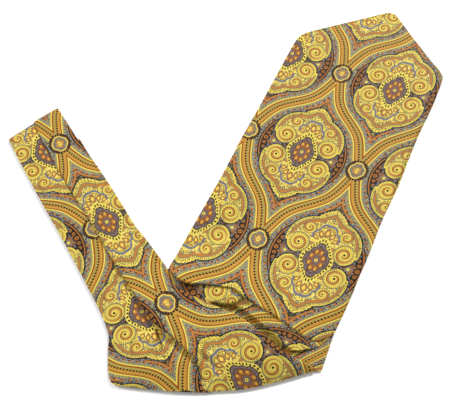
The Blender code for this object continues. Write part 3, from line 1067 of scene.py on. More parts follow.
@dataclass
class SilkPanel:
    """A panel of cloth: one thin closed shell that follows its sections, with rolled edges and hems."""

    name: str
    sections: Sequence[Section]
    grain: Grain
    along: int
    across: int
    left: Roll = HEM
    right: Roll = HEM
    start: Roll = HEM
    creases: tuple[Crease | Ledge, ...] = ()
    thickness: float = 1.1
    hem_height: float = 0.22
    hem_width: float = 2.4
    hem_spread: float = 0.55
    hem_fading: float = 9.0  # how much faster the hem's ridge ends where the edge is rolled
    close_side: float = 3.2  # width of the finely stepped strip beside a long edge
    close_end: float = 2.0  # width of the same strip at the ends
    rail_steps: int = RAIL_STEPS

    def build(self, slot: str) -> bpy.types.Object:
        """Build the panel.

        Args:
            slot: The record's material slot, which is not used.

        Returns:
            The panel.
        """
        half = self.thickness / 2
        rails = Rails(self.sections, self.rail_steps)
        first = np.zeros(1)
        spare = self.start.length(first) - self.start.bend(first)
        whole = rails.length + spare
        close = self.start.length(first) + self.close_end
        stations = spread(whole, close, np.array([self.close_end]), self.along, half)[0]
        inward, sunk = self.start.follow(stations, first)
        rows = rails.at(inward)
        numbers = rows[:, 9]
        across = (rows[:, 3:6] - rows[:, 0:3])[:, :2]
        width = np.linalg.norm(across, axis=1)
        lengths = [roll.length(numbers) for roll in (self.left, self.right)]
        extras = [long - roll.bend(numbers) for long, roll in zip(lengths, (self.left, self.right))]
        total = width + extras[0] + extras[1]
        ends = [long + self.close_side for long in lengths]
        steps = spread(total, *ends, self.across, half)
        from_end = total[:, None] - steps
        near_left = steps < total[:, None] / 2
        number_grid = np.repeat(numbers[:, None], steps.shape[1], axis=1)
        from_left, drop_left = self.left.follow(steps, number_grid)
        from_right, drop_right = self.right.follow(from_end, number_grid)
        place = np.where(near_left, from_left, width[:, None] - from_right)
        points = arched(rows, place / width[:, None])
        rolled = np.where(near_left, extras[0][:, None], extras[1][:, None])
        hems = np.minimum(steps, from_end) + self.hem_fading * rolled
        points[:, :, 2] += self.hem_height * np.exp(-(((hems - self.hem_width) / self.hem_spread) ** 2))
        for crease in self.creases:
            points[:, :, 2] += crease.lift(points[:, :, :2])
        points[:, :, 2] = np.maximum(points[:, :, 2], self.thickness + LEAST_GAP)
        flat = points.copy()
        beyond = (steps - extras[0][:, None] - place) / width[:, None]
        flat[:, :, :2] += across[:, None] * beyond[:, :, None]
        ahead = rails.at(np.array([0.0, 2.0]))
        ahead = (ahead[1, 0:2] + ahead[1, 3:5] - ahead[0, 0:2] - ahead[0, 3:5]) / 4.0
        flat[:, :, :2] += ahead * (stations - spare - inward)[:, None, None]
        points[:, :, 2] -= np.maximum(np.where(near_left, drop_left, drop_right), sunk[:, None])
        self.surface, self.steps, self.total = points, steps, total
        rim = np.minimum(np.minimum(steps, from_end), np.minimum(stations, whole - stations)[:, None])
        return self.shell(points, self.grain.lattice(as_seen(flat)), rim)

    def shell(self, points: np.ndarray, lattice: np.ndarray, rim: np.ndarray) -> bpy.types.Object:
        """Give the upper face its thickness and its rounded rim, and keep it on the table.

        Args:
            points: The upper face.
            lattice: The print's place at each point.
            rim: Distance of each point from the cloth's nearest end.

        Returns:
            The panel.
        """
        half = self.thickness / 2
        rows, columns = rim.shape
        normals = np.cross(np.gradient(points, axis=0), np.gradient(points, axis=1))
        normals /= np.linalg.norm(normals, axis=2, keepdims=True) + 1e-12
        if normals[rows // 2, columns // 2, 2] < 0:
            normals = -normals
        thick = half * np.sqrt(np.clip(1.0 - (1.0 - np.minimum(rim / half, 1.0)) ** 2, 0.0, 1.0))
        core = points - normals * half
        over = core + normals * thick[:, :, None]
        under = core - normals * thick[:, :, None]
        top = np.arange(rows * columns).reshape(rows, columns)
        bottom = top.copy()
        inner = bottom[1:-1, 1:-1]
        inner[:] = rows * columns + np.arange(inner.size).reshape(inner.shape)
        faces = []
        for grid in (top, bottom[:, ::-1]):
            corners = (grid[:-1, :-1], grid[:-1, 1:], grid[1:, 1:], grid[1:, :-1])
            faces += np.stack(corners, axis=2).reshape(-1, 4).tolist()
        everything = np.concatenate([over.reshape(-1, 3), under[1:-1, 1:-1].reshape(-1, 3)])
        everything[:, 2] = np.maximum(everything[:, 2], 0.0)
        print_places = np.concatenate([lattice.reshape(-1, 2), lattice[1:-1, 1:-1].reshape(-1, 2)])
        return add_cloth(self.name, everything, faces, print_places)

    def line_inside(self, inset: float, side: Side) -> np.ndarray:
        """Draw a line on the panel, beside one of its long edges.

        Args:
            inset: Distance from the edge.
            side: The edge that it runs beside.

        Returns:
            The line's points in the drawing's millimetres.
        """
        wanted = self.total - inset if side is Side.RIGHT else np.full_like(self.total, inset)
        rows = zip(wanted, self.steps, self.surface)
        return np.array([[np.interp(mm, places, row[:, i]) for i in range(3)] for mm, places, row in rows])


@dataclass
class LayerStack:
    """Hidden layers of the folded half as one solid, with a rounded lip for each layer at its rim."""

    name: str
    sections: Sequence[Section]
    grain: Grain
    along: int
    across: int
    height: float | None = None  # pressed flat at this height, or else up to just under the cloth
    trim: float = 0.0  # kept back from the panel's start
    layers: int = 2
    clearance: float = 1.55
    widest_back: float = 0.42  # most that the rim stays back from an edge line, as a share of the width

    def build(self, slot: str) -> bpy.types.Object:
        """Build the stack.

        Args:
            slot: The record's material slot, which is not used.

        Returns:
            The stack.
        """
        rails = Rails(self.sections)
        rows = rails.at(np.linspace(self.trim, rails.length, self.along + 1))
        left, right = rows[:, 0:3], rows[:, 3:6]
        width = np.linalg.norm((right - left)[:, :2], axis=1)[:, None]
        start = np.minimum(rows[:, 7:8] / width, self.widest_back)
        stop = 1.0 - np.minimum(rows[:, 8:9] / width, self.widest_back)
        bulges = [self.upper(rows, share)[:, 0, 2:3] / (2 * self.layers) for share in (start, stop)]
        first = start * width + bulges[0]
        last = stop * width - bulges[1]
        shares = (first + (last - first) * np.linspace(0.0, 1.0, self.across + 1)) / width
        top = self.upper(rows, shares)
        foot = top[:, ::-1] * np.array([1.0, 1.0, 0.0])
        across = (right - left) / width
        right_lip = self.lips(top[:, -1], across, bulges[1])
        left_lip = self.lips(top[:, 0], -across, bulges[0])[:, ::-1]
        rings = np.concatenate([top, right_lip, foot, left_lip], axis=1)
        count, size = rings.shape[:2]
        grid = np.arange(count * size).reshape(count, size)
        turned = np.roll(grid, -1, axis=1)
        faces = np.stack((grid[:-1], turned[:-1], turned[1:], grid[1:]), axis=2).reshape(-1, 4).tolist()
        faces += [grid[0, ::-1].tolist(), grid[-1].tolist()]
        lattice = self.grain.lattice(as_seen(rings)).reshape(-1, 2)
        return add_cloth(self.name, rings.reshape(-1, 3), faces, lattice)

    def upper(self, rows: np.ndarray, shares: np.ndarray) -> np.ndarray:
        """Lay points on the uppermost layer.

        Args:
            rows: The sections.
            shares: Places across each section, as shares of its width.

        Returns:
            The points, section by section.
        """
        points = arched(rows, shares)
        points[:, :, 2] = points[:, :, 2] - self.clearance if self.height is None else self.height
        return points

    def lips(self, edge: np.ndarray, outward: np.ndarray, bulge: np.ndarray) -> np.ndarray:
        """Round each layer at the rim, from the uppermost one down.

        Args:
            edge: Upper corner of the rim, row by row.
            outward: Direction out of the stack.
            bulge: Half the thickness of a layer, row by row.

        Returns:
            The rim's points, row by row, without its two corners.
        """
        turns = np.radians(np.linspace(90.0, -90.0, LIP_STEPS))
        parts = []
        for layer in range(self.layers):
            for turn in turns if layer == 0 else turns[1:]:
                point = edge + outward * (bulge * math.cos(turn))
                point[:, 2] = bulge[:, 0] * (2 * (self.layers - layer) - 1 + math.sin(turn))
                parts.append(point)
        return np.stack(parts[1:-1], axis=1)


@dataclass(frozen=True)
class PrickStitches:
    """Small hand stitches that hold a turned hem, repeated along a line by Geometry Nodes."""

    name: str
    spacing: float = 9.0
    length: float = 1.7
    width: float = 0.42

    def tree(self, thread: bpy.types.Material) -> tuple[bpy.types.NodeTree, dict[str, str]]:
        """Build the nodes that lay stitches along a line.

        Args:
            thread: The stitches' material.

        Returns:
            The node tree, and the identifiers of its named inputs.
        """
        tree = bpy.data.node_groups.new(self.name + "_nodes", "GeometryNodeTree")
        sockets = tree.interface
        sockets.new_socket("Line", in_out="INPUT", socket_type="NodeSocketGeometry")
        named = {
            label: sockets.new_socket(label, in_out="INPUT", socket_type="NodeSocketFloat").identifier
            for label in ("Spacing", "Length", "Width")
        }
        sockets.new_socket("Stitches", in_out="OUTPUT", socket_type="NodeSocketGeometry")
        given = add_node(tree, "NodeGroupInput", {}, {}).outputs
        curve = add_node(tree, "GeometryNodeMeshToCurve", {}, {0: given["Line"]})
        spots = add_node(tree, "GeometryNodeResampleCurve", {"mode": "LENGTH"}, {
            "Curve": curve.outputs[0],
            "Length": given["Spacing"],
        })
        tangent = add_node(tree, "GeometryNodeInputTangent", {}, {})
        ahead = {"Vector": tangent.outputs[0]}
        turn = add_node(tree, "FunctionNodeAlignRotationToVector", {"axis": "X"}, ahead)
        bead = add_node(tree, "GeometryNodeMeshIcoSphere", {}, {"Radius": 0.5, "Subdivisions": 2})
        sizes = {0: given["Length"], 1: given["Width"], 2: given["Width"]}
        size = add_node(tree, "ShaderNodeCombineXYZ", {}, sizes)
        laid = add_node(tree, "GeometryNodeInstanceOnPoints", {}, {
            "Points": spots.outputs[0],
            "Instance": bead.outputs[0],
            "Rotation": turn.outputs[0],
            "Scale": size.outputs[0],
        })
        real = add_node(tree, "GeometryNodeRealizeInstances", {}, {0: laid.outputs[0]})
        dye = {"Geometry": real.outputs[0], "Material": thread}
        dyed = add_node(tree, "GeometryNodeSetMaterial", {}, dye)
        add_node(tree, "NodeGroupOutput", {}, {0: dyed.outputs[0]})
        return tree, named

    def sew(self, line: np.ndarray, thread: bpy.types.Material) -> bpy.types.Object:
        """Sew stitches along a line.

        Args:
            line: The line's points in the drawing's millimetres.
            thread: The stitches' material.

        Returns:
            The stitches as one object.
        """
        guide = bpy.data.meshes.new(self.name + "_line")
        pairs = [(i, i + 1) for i in range(len(line) - 1)]
        guide.from_pydata(((line - MIDDLE) * MM).tolist(), pairs, [])
        carrier = link_object(self.name + "_carrier", guide)
        modifier = carrier.modifiers.new("Stitches", "NODES")
        modifier.node_group, named = self.tree(thread)
        for label, size in (("Spacing", self.spacing), ("Length", self.length), ("Width", self.width)):
            modifier[named[label]] = size * MM
        graph = bpy.context.evaluated_depsgraph_get()
        mesh = bpy.data.meshes.new_from_object(carrier.evaluated_get(graph))
        bpy.data.objects.remove(carrier, do_unlink=True)
        mesh.name = self.name
        return add_piece(self.name, mesh)


PLEAT_RIGHT = sections(
    (-180.9, 82.9, 5.0, -159.8, 99.2, 4.0, 0.6),
    (-170.7, 61.9, 5.0, -146.4, 78.6, 4.0, 0.6),
    (-156.4, 37.9, 5.0, -133.9, 59.3, 4.0, 0.7),
    (-144.1, 19.1, 5.0, -120.6, 37.4, 4.0, 0.7),
    (-133.3, 1.2, 5.2, -108.6, 18.0, 4.0, 0.8),
    (-121.0, -16.0, 5.5, -97.0, -0.8, 4.0, 0.8),
    (-105.6, -40.5, 6.0, -84.6, -22.3, 4.5, 0.8),
    (-93.7, -60.5, 6.5, -73.1, -39.4, 5.0, 0.8),
    (-79.4, -81.5, 7.0, -62.9, -51.5, 5.5, 0.8),
    (-68.2, -98.2, 8.0, -53.0, -63.0, 6.0, 0.8),
)
TURN_FACET = sections(
    (-68.0, -98.5, 8.0, -52.7, -63.3, 6.0, 0.8, 12.5, 3.5),
    (-59.1, -110.7, 9.0, -45.3, -74.5, 7.0, 0.8, 12.5, 5.0),
    (-49.5, -117.4, 10.0, -39.6, -80.5, 8.0, 0.8, 12.5, 6.0),
    (-40.7, -124.2, 10.0, -29.3, -86.5, 9.0, 0.9, 12.5, 6.5),
    (-33.2, -131.8, 10.5, -17.5, -92.1, 9.2, 1.0, 11.0, 6.5),
    (-24.8, -139.2, 9.4, -2.5, -98.5, 9.6, 1.2, 8.0, 6.5),
    (-19.8, -149.4, 6.6, 12.3, -105.4, 11.0, 1.6, 4.0, 6.5),
    (-18.8, -158.6, 3.8, 19.8, -111.4, 12.8, 2.0, 2.0, 6.5),
    (-17.8, -165.8, 2.5, 26.1, -117.0, 13.0, 2.4, 1.6, 6.5),
    (10.4, -164.2, 3.0, 32.5, -122.0, 12.8, 2.4, 1.6, 6.5),
    (23.2, -162.2, 3.0, 38.9, -127.8, 12.2, 2.2, 1.6, 6.5),
    (36.1, -159.3, 3.0, 45.4, -133.3, 11.4, 2.0, 1.6, 6.5),
    (49.0, -156.0, 3.0, 52.8, -137.3, 10.8, 1.4, 1.6, 6.5),
    (60.4, -152.7, 3.0, 60.5, -141.0, 9.2, 0.8, 1.6, 6.5),
    (68.6, -150.3, 3.0, 67.6, -144.6, 6.8, 0.3, 1.6, 3.0),
    (73.2, -149.3, 3.0, 72.8, -146.6, 4.2, 0.0, 1.6, 1.5),
)
PLEAT_LEFT = sections(
    (-202.8, 65.4, 3.0, -173.4, 88.9, 3.0, 0.4),
    (-189.0, 41.0, 3.0, -161.4, 67.0, 3.0, 0.5),
    (-174.9, 17.5, 3.0, -148.6, 44.4, 3.0, 0.6),
    (-161.0, -5.6, 3.0, -134.9, 22.8, 3.0, 0.6),
    (-149.0, -24.5, 3.0, -122.8, 3.2, 3.0, 0.6),
    (-136.5, -45.1, 3.0, -108.8, -16.6, 3.0, 0.6),
    (-124.3, -65.8, 3.0, -95.0, -38.8, 3.2, 0.6),
    (-110.2, -89.9, 3.0, -81.5, -60.6, 3.2, 0.6),
    (-101.9, -105.4, 3.0, -69.0, -79.0, 3.4, 0.8),
    (-95.8, -119.7, 3.0, -59.0, -93.6, 3.6, 1.0),
    (-95.9, -134.5, 3.0, -49.2, -106.4, 4.0, 1.6),
    (-94.5, -151.2, 3.0, -39.5, -114.6, 4.4, 2.2),
    (-91.3, -160.1, 3.0, -31.4, -123.6, 4.8, 2.4),
    (-66.4, -163.1, 3.0, -26.0, -134.6, 5.4, 2.0),
    (-39.9, -165.4, 3.0, -14.8, -146.5, 3.6, 0.8),
    (-26.0, -166.0, 3.0, -8.5, -157.0, 2.6, 0.2),
    (-13.0, -165.8, 2.9, -6.0, -163.4, 2.0, 0.0),
)
BLADE = sections(
    (88.0, -120.4, 3.4, 91.2, -117.4, 3.0, 0.0, 10.0, 0.8),
    (79.4, -125.2, 5.4, 93.8, -110.8, 3.0, 0.3, 10.0, -2.0),
    (71.9, -126.6, 6.8, 97.7, -103.7, 3.0, 0.5, 10.0, -1.8),
    (61.4, -120.0, 8.4, 102.0, -94.2, 3.0, 0.8, 10.0, -2.1),
    (53.3, -114.5, 9.2, 106.6, -85.5, 3.0, 1.0, 10.0, -1.8),
    (42.8, -106.4, 9.8, 112.0, -75.0, 3.0, 1.0, 10.0, -0.4),
    (32.3, -99.6, 10.0, 118.1, -63.4, 3.0, 1.0, 10.0, 0.8),
    (20.8, -92.8, 10.2, 124.3, -50.6, 3.0, 0.6, 11.0, 0.8),
    (13.4, -86.8, 10.2, 130.2, -37.7, 3.0, 0.4, 14.0, 0.8),
    (5.0, -80.7, 10.0, 136.8, -22.6, 3.0, 0.2, 17.0, 0.8),
    (-5.0, -79.7, 9.5, 142.9, -10.1, 3.0, 0.2, 17.0, -0.2),
    (-16.0, -77.3, 9.0, 149.1, 3.6, 3.0, 0.2, 16.0, -2.1),
    (-27.0, -77.2, 8.5, 154.9, 16.5, 3.0, 0.2, 15.0, -4.0),
    (-36.3, -75.7, 8.0, 160.9, 30.7, 3.0, 0.2, 12.0, -4.5),
    (-44.2, -68.3, 7.0, 168.0, 46.2, 3.0, 0.4, 10.0, -4.2),
    (-50.2, -62.8, 5.0, 174.0, 58.2, 3.0, 0.8, 7.0, -3.6),
    (-44.0, -54.0, 3.5, 178.9, 68.4, 3.0, 1.2, 4.0, -3.5),
    (-37.6, -40.5, 3.0, 185.3, 79.2, 3.0, 1.5, 2.0, -2.3),
    (-26.5, -18.8, 3.0, 192.8, 90.7, 3.0, 1.5, 1.4, -0.8),
    (-13.5, 6.5, 3.0, 198.2, 100.1, 3.0, 1.5, 1.4, 0.8),
    (0.0, 33.2, 3.0, 202.8, 110.2, 3.0, 1.5, 1.4, 0.8),
    (15.9, 67.8, 3.0, 207.5, 120.4, 3.0, 1.4, 1.4, 0.8),
    (30.8, 96.8, 3.0, 211.0, 128.2, 3.0, 1.4, 1.4, 0.8),
    (51.9, 140.1, 3.0, 213.0, 134.9, 3.0, 1.2, 1.4, 0.8),
    (71.6, 180.1, 3.0, 209.6, 144.2, 3.0, 1.2, 1.4, 0.8),
    (76.4, 186.6, 3.0, 206.3, 149.0, 3.0, 1.0, 1.4, 0.8),
    (97.0, 192.7, 3.0, 203.3, 153.6, 3.0, 0.8, 1.4, 0.8),
    (119.6, 199.3, 3.0, 196.9, 166.5, 3.0, 0.6, 1.4, 0.8),
    (142.5, 206.0, 3.0, 187.0, 184.6, 3.0, 0.4, 1.4, 0.8),
    (158.2, 210.7, 3.0, 180.4, 198.6, 3.0, 0.2, 1.4, 0.8),
    (166.3, 213.0, 3.0, 173.6, 211.2, 3.0, 0.0, 1.4, 0.8),
)
TURN_POCKET = sections(
    (-26.0, -84.0, 2.6, -30.0, -94.0, 2.6, 0.0),
    (-8.0, -84.0, 2.6, -9.0, -101.0, 2.6, 0.3),
    (4.0, -84.0, 2.8, 2.0, -107.0, 3.4, 0.6),
    (16.0, -85.0, 4.2, 11.0, -111.0, 5.4, 0.6),
    (24.0, -87.0, 6.0, 18.0, -116.0, 6.6, 0.6),
    (32.0, -91.0, 7.2, 25.0, -121.0, 7.2, 0.6),
    (43.0, -98.5, 7.4, 32.0, -126.0, 7.4, 0.6),
    (53.0, -106.0, 7.2, 39.5, -131.0, 7.4, 0.6),
    (62.5, -113.0, 6.4, 48.0, -133.6, 7.2, 0.6),
    (70.0, -117.5, 5.2, 58.5, -133.4, 6.8, 0.4),
    (76.5, -119.5, 4.0, 70.5, -131.6, 5.6, 0.2),
    (83.0, -119.5, 2.8, 81.5, -127.4, 3.6, 0.0),
)
TURN_TUCK = sections(
    (-47.0, -61.5, 3.0, -53.5, -63.6, 3.0, 0.0),
    (-45.5, -65.5, 3.0, -50.6, -68.6, 3.0, 0.0),
    (-38.5, -68.0, 2.8, -46.5, -79.5, 2.8, 0.0),
    (-30.5, -70.5, 2.7, -39.5, -88.0, 2.7, 0.2),
    (-23.0, -72.0, 3.0, -29.6, -93.0, 2.9, 0.4),
    (-15.0, -72.5, 4.6, -19.0, -94.6, 4.4, 0.8),
    (-5.0, -73.5, 5.8, -9.2, -93.0, 6.6, 1.2),
    (5.0, -74.5, 6.0, 1.0, -95.0, 7.4, 1.4),
    (11.5, -78.0, 6.0, 9.4, -93.8, 7.2, 1.0),
    (16.5, -83.0, 6.0, 15.4, -88.4, 6.6, 0.0),
)
TURN_CORNER = sections(
    (46.0, -127.0, 2.0, 50.0, -141.0, 2.4, 0.0),
    (58.0, -125.0, 1.9, 60.0, -146.0, 2.2, 1.2),
    (71.5, -122.0, 1.9, 67.8, -148.6, 1.9, 2.0),
    (85.0, -115.0, 1.9, 74.0, -149.2, 1.8, 2.0),
    (95.0, -106.5, 1.8, 78.2, -148.9, 1.8, 1.0),
)
EDGE_PLEAT = sections(
    (-137.5, 65.0, 2.4, -136.0, 65.6, 2.4, 0.0),
    (-129.0, 51.3, 2.4, -126.4, 50.0, 2.4, 0.0),
    (-120.6, 37.4, 2.4, -116.6, 36.0, 2.4, 0.0),
    (-108.6, 18.0, 2.4, -104.2, 17.4, 2.4, 0.0),
    (-97.0, -0.8, 2.4, -91.8, -2.2, 2.4, 0.0),
    (-84.6, -22.3, 2.4, -79.6, -22.0, 2.4, 0.0),
    (-73.1, -39.4, 2.4, -67.5, -36.8, 2.4, 0.0),
    (-62.9, -51.5, 2.4, -57.6, -50.4, 2.4, 0.0),
    (-55.5, -60.1, 2.4, -51.5, -58.9, 2.4, 0.0),
    (-51.5, -68.0, 2.4, -48.4, -64.8, 2.4, 0.0),
)

BLADE_GRAIN = StraightGrain(
    marks=(
        (-18.6, -10.1, 0.0, 0.0),
        (22.6, 74.8, 0.0, 1.0),
        (67.3, 162.8, 0.0, 2.0),
        (29.0, -34.4, 1.0, 0.0),
        (71.2, 51.1, 1.0, 1.0),
        (114.2, 138.2, 1.0, 2.0),
        (78.1, -55.3, 2.0, 0.0),
        (121.5, 33.5, 2.0, 1.0),
        (163.6, 118.3, 2.0, 2.0),
    ),
    order=2,
)
RIGHT_GRAIN = CurvedGrain(
    spine=(
        (-202.5, 139.0, 2.0),
        (-153.3, 60.3, 1.0),
        (-104.1, -18.4, 0.0),
        (-51.5, -93.3, -1.0),
        (19.4, -155.6, -2.0),
        (100.0, -205.0, -3.0),
    ),
)
LEFT_GRAIN = CurvedGrain(
    spine=(
        (-213.0, 129.0, 1.0),
        (-164.9, 52.2, 0.0),
        (-116.4, -24.7, -1.0),
        (-67.8, -101.7, -2.0),
        (-34.1, -171.8, -3.0),
        (-10.0, -245.0, -4.0),
    ),
)
TUCK_GRAIN = StraightGrain(
    marks=((0.5, -59.3, 1.0, -1.0), (63.2, -130.6, 1.0, -2.0), (-39.8, -94.7, 0.0, -1.0)),
)
POCKET_GRAIN = StraightGrain(
    marks=((50.4, -125.8, 0.53, 0.0), (54.8, -117.5, 0.746, 0.0), (65.2, -132.1, 0.53, -0.193)),
)
CORNER_GRAIN = StraightGrain(
    marks=((73.9, -137.3, 0.5, 0.5), (82.9, -133.0, 0.357, 0.567), (71.3, -131.8, 0.619, 0.58)),
)


class Cravat:
    """The whole cravat: its front half as panels of cloth, and its hidden half as layers."""

    def __init__(self) -> None:
        """Make the finishes."""
        self.silk = PrintedSilk().make()
        self.thread = SilkThread().make()

    def lay(self, cloth: SilkPanel | LayerStack, *nodes: str) -> bpy.types.Object:
        """Build a panel or hidden layers in place of their solids.

        Args:
            cloth: The panel or the layers.
            nodes: The solids that it stands for.

        Returns:
            The piece.
        """
        piece = cloth.build(nodes[0])
        piece.data.materials.append(self.silk)
        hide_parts(*nodes)
        return piece

    def blade(self) -> None:
        """Build the broad front blade, its stitched hems and the rear blade under it."""
        front = SilkPanel(
            name="front_blade",
            sections=BLADE,
            grain=BLADE_GRAIN,
            along=200,
            across=110,
            left=Roll(
                depths=(
                    (0, 0.8), (1, 2.2), (2, 3.2), (3, 4.8), (4, 5.8), (5, 6.6), (7, 6.4), (8, 5.0),
                    (9, 3.8), (10, 3.4), (11, 4.4), (12, 5.4), (13, 5.0), (14, 4.0), (15, 2.0), (16.5, 0.0),
                ),
            ),
            creases=(
                Crease(((-41.9, -66.5), (-8.6, -62.0), (34.0, -70.0)), 0.7, 6.0),
                Crease(((-39.0, -57.0), (-8.7, -36.0), (24.0, -2.3)), -0.7, 8.0),
                Crease(((-12.0, -60.0), (30.0, -58.0), (84.0, -84.0)), -0.6, 7.0),
                Crease(((-20.0, -18.0), (26.0, 20.0), (70.0, 84.0)), 0.5, 12.0),
                Crease(((96.0, -96.0), (120.0, -46.0), (146.0, 12.0)), -0.5, 7.0),
                Crease(((60.0, 20.0), (104.0, 66.0), (150.0, 150.0)), -0.5, 13.0),
            ),
        )
        piece = self.lay(front, "blade_front")
        hidden = self.lay(LayerStack("rear_blade", BLADE, BLADE_GRAIN, along=150, across=40), "blade_rear")
        for side, seen in ((Side.LEFT, slice(70, -16)), (Side.RIGHT, slice(30, -16))):
            line = front.line_inside(HEM_STITCHES_IN, side)[seen]
            sewing = PrickStitches(f"hem_stitches_{side.value}")
            sewing.sew(line + STITCH_LIFT, self.thread)

    def neckband(self) -> None:
        """Build the pleats of the neckband, with the raised facet that the right one opens into."""
        right = SilkPanel(
            name="right_pleat_and_facet",
            sections=PLEAT_RIGHT + TURN_FACET[1:],
            grain=RIGHT_GRAIN,
            along=220,
            across=60,
            left=Roll(
                depths=(
                    (0, 1.7), (4, 1.9), (6, 2.7), (8, 3.6), (9, 3.9), (10, 4.6), (11, 4.6), (12, 4.3),
                    (13, 5.0), (14, 5.0), (15, 3.2), (16, 1.2), (17, 0.0),
                ),
            ),
            right=Roll(
                depths=(
                    (0, 1.4), (8, 1.6), (9, 2.6), (10, 3.8), (11, 4.8), (12, 5.6), (13, 6.0), (14, 6.2),
                    (15, 7.4), (16, 9.2), (17, 9.6), (18, 9.2), (19, 8.4), (20, 7.6), (21, 7.2), (22, 6.0),
                    (23, 4.0), (24, 1.6),
                ),
            ),
            start=Roll(depths=((0, 4.4),)),
            rail_steps=2 * RAIL_STEPS,
            hem_height=0.1,
            creases=(
                Crease(((-26.0, -133.0), (-13.8, -141.8), (-2.5, -152.0)), -1.5, 1.8),
                Crease(((-24.0, -129.5), (-11.0, -138.5), (2.5, -148.0)), 0.9, 3.0),
                Crease(((-60.0, -78.0), (-36.0, -104.0), (-8.0, -124.0), (18.0, -134.0)), -0.9, 6.0),
            ),
        )
        left = SilkPanel(
            name="left_pleat",
            sections=PLEAT_LEFT,
            grain=LEFT_GRAIN,
            along=260,
            across=70,
            left=Roll(depths=((0, 0.8), (13, 0.8), (14, 0.3), (15, 0.0))),
            creases=(
                Crease(((-56.6, -114.0), (-54.2, -124.0), (-50.2, -136.0)), -3.8, 1.3),
                Crease(((-59.4, -113.0), (-57.2, -124.0), (-53.2, -136.0)), 2.0, 1.9),
                Crease(
                    ((-80.0, -86.0), (-68.0, -105.0), (-58.0, -117.0), (-44.0, -128.0), (-31.0, -140.0)),
                    -1.3,
                    2.6,
                ),
                Crease(((-98.0, -86.0), (-84.0, -104.0), (-72.0, -128.0), (-66.0, -150.0)), 0.7, 5.0),
            ),
            start=Roll(depths=((0, 2.5),)),
        )
        pieces = [self.lay(right, "pleat_right", "turn_facet"), self.lay(left, "pleat_left")]
        band_rows = [
            under._replace(right_x=over.right_x, right_y=over.right_y, back_right=4.2)
            for under, over in zip(PLEAT_LEFT[:9], PLEAT_RIGHT)
        ]
        band = LayerStack("neckband_layers_under", band_rows, LEFT_GRAIN, 60, 14, height=1.35, trim=3.0)
        outer = LayerStack("turn_layers_outer", PLEAT_LEFT[9:], LEFT_GRAIN, 50, 14, height=1.35)
        inner = LayerStack("turn_layers_inner", TURN_FACET, RIGHT_GRAIN, along=100, across=26)
        stacks = [
            self.lay(band, "neckband_layers"),
            self.lay(outer, "turn_layers_left"),
            self.lay(inner, "turn_layers"),
        ]
        edge_rows = [row._replace(back_left=-3.6, back_right=0.0) for row in EDGE_PLEAT]
        edge_layers = LayerStack("inner_edge_pleat", edge_rows, RIGHT_GRAIN, along=70, across=6, height=2.4)
        edge = self.lay(edge_layers, "pleat_edge")

    def turn(self) -> None:
        """Build the tuck, the pocket and the corner between the neckband and the blade."""
        tuck = SilkPanel(
            name="tuck",
            sections=TURN_TUCK,
            grain=TUCK_GRAIN,
            along=90,
            across=34,
            right=Roll(depths=((0, 0.0), (4, 0.3), (5, 1.6), (6, 3.4), (7, 4.2), (8, 4.0), (9, 3.2))),
            thickness=0.9,
            hem_height=0.0,
        )
        pocket = SilkPanel(
            name="pocket",
            sections=TURN_POCKET,
            grain=POCKET_GRAIN,
            along=130,
            across=60,
            thickness=0.9,
            hem_height=0.0,
            creases=(
                Ledge(
                    (
                        (2.0, -91.0), (15.0, -97.6), (23.6, -104.6), (30.4, -110.4), (36.8, -115.4),
                        (43.0, -121.4), (48.6, -127.6), (55.0, -132.4), (63.0, -136.5), (80.0, -140.0),
                    ),
                    height=6.6,
                    width=4.0,
                ),
            ),
        )
        corner = SilkPanel("corner", TURN_CORNER, CORNER_GRAIN, along=40, across=24, thickness=0.9)
        for panel, node, flat in (
            (tuck, "turn_tuck", (0.019, 0.075)),
            (pocket, "turn_pocket", (0.024, 0.12)),
            (corner, "turn_corner", (0.024, 0.04)),
        ):
            self.lay(panel, node)

    def build(self) -> None:
        """Build every part."""
        self.blade()
        self.neckband()
        self.turn()


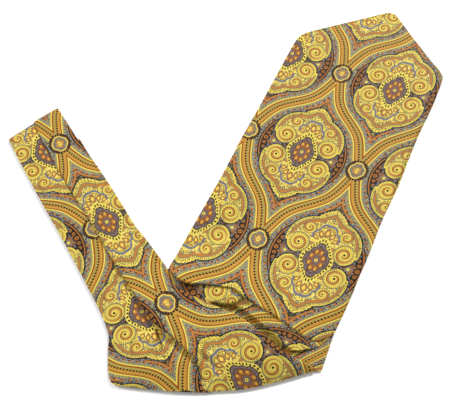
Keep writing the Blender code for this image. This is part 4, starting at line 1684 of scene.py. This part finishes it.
@dataclass(frozen=True)
class SoftLight:
    """A square studio light with a soft face."""

    name: str
    place: tuple[float, float, float]  # metres
    size: float
    power: float

    def hang(self) -> None:
        """Hang the light so that it faces the cravat."""
        lamp = bpy.data.lights.new(self.name, "AREA")
        lamp.size = self.size
        lamp.energy = self.power
        thing = link_object(self.name, lamp)
        thing.location = self.place
        x, y, z = self.place
        thing.rotation_euler = (math.atan2(math.hypot(x, y), z), 0.0, math.atan2(y, x) + math.pi / 2)


@dataclass(frozen=True)
class Studio:
    """A pale table top under soft light, seen from the photograph's side."""

    reach: float = 3.0  # half the table top's side, in metres
    sky: float = 0.5
    lights: tuple[SoftLight, ...] = (
        SoftLight("left_light", (-4.2, 2.4, 3.4), 1.8, 240.0),
        SoftLight("top_light", (2.6, 3.9, 3.9), 1.7, 390.0),
    )
    lens: float = 55.0  # millimetres, as is the sensor's width
    sensor: float = 36.0
    tilt: float = 24.0  # degrees from straight down
    eye: tuple[float, float, float] = (-0.0049, -0.2752, 0.5653)

    def set_up(self) -> None:
        """Lay the table top, hang the lights and place the camera."""
        r = self.reach
        mesh = bpy.data.meshes.new("table_top")
        mesh.from_pydata([(-r, -r, 0), (r, -r, 0), (r, r, 0), (-r, r, 0)], [], [(0, 1, 2, 3)])
        mesh.materials.append(TableTop().make())
        floor = link_object("table_top", mesh)
        floor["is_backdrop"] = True
        for light in self.lights:
            light.hang()
        world = bpy.data.worlds.new("studio")
        world.use_nodes = True
        ground = world.node_tree.nodes["Background"]
        ground.inputs["Color"].default_value = (1.0, 1.0, 1.0, 1.0)
        ground.inputs["Strength"].default_value = self.sky
        bpy.context.scene.world = world
        camera = bpy.data.cameras.new("camera")
        camera.lens = self.lens
        camera.sensor_width = self.sensor
        eye = link_object("camera", camera)
        eye.location = self.eye
        eye.rotation_euler = (math.radians(self.tilt), 0.0, 0.0)
        bpy.context.scene.camera = eye
        bpy.context.scene.view_settings.view_transform = "Standard"


def note_size(key: str, sizes: dict) -> None:
    """Write the part's bounds down.

    Args:
        key: When they were measured.
        sizes: What was written so far, which gets the new bounds.
    """
    low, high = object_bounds()
    sizes[key] = [[float(x) for x in low], [float(x) for x in high]]


def main() -> None:
    """Dress the cravat and set up the studio."""
    logging.basicConfig(level=logging.INFO, format="%(message)s")
    sizes: dict = {}
    note_size("loaded", sizes)
    Cravat().build()
    Studio().set_up()
    note_size("finished", sizes)


if __name__ == "__main__":
    main()
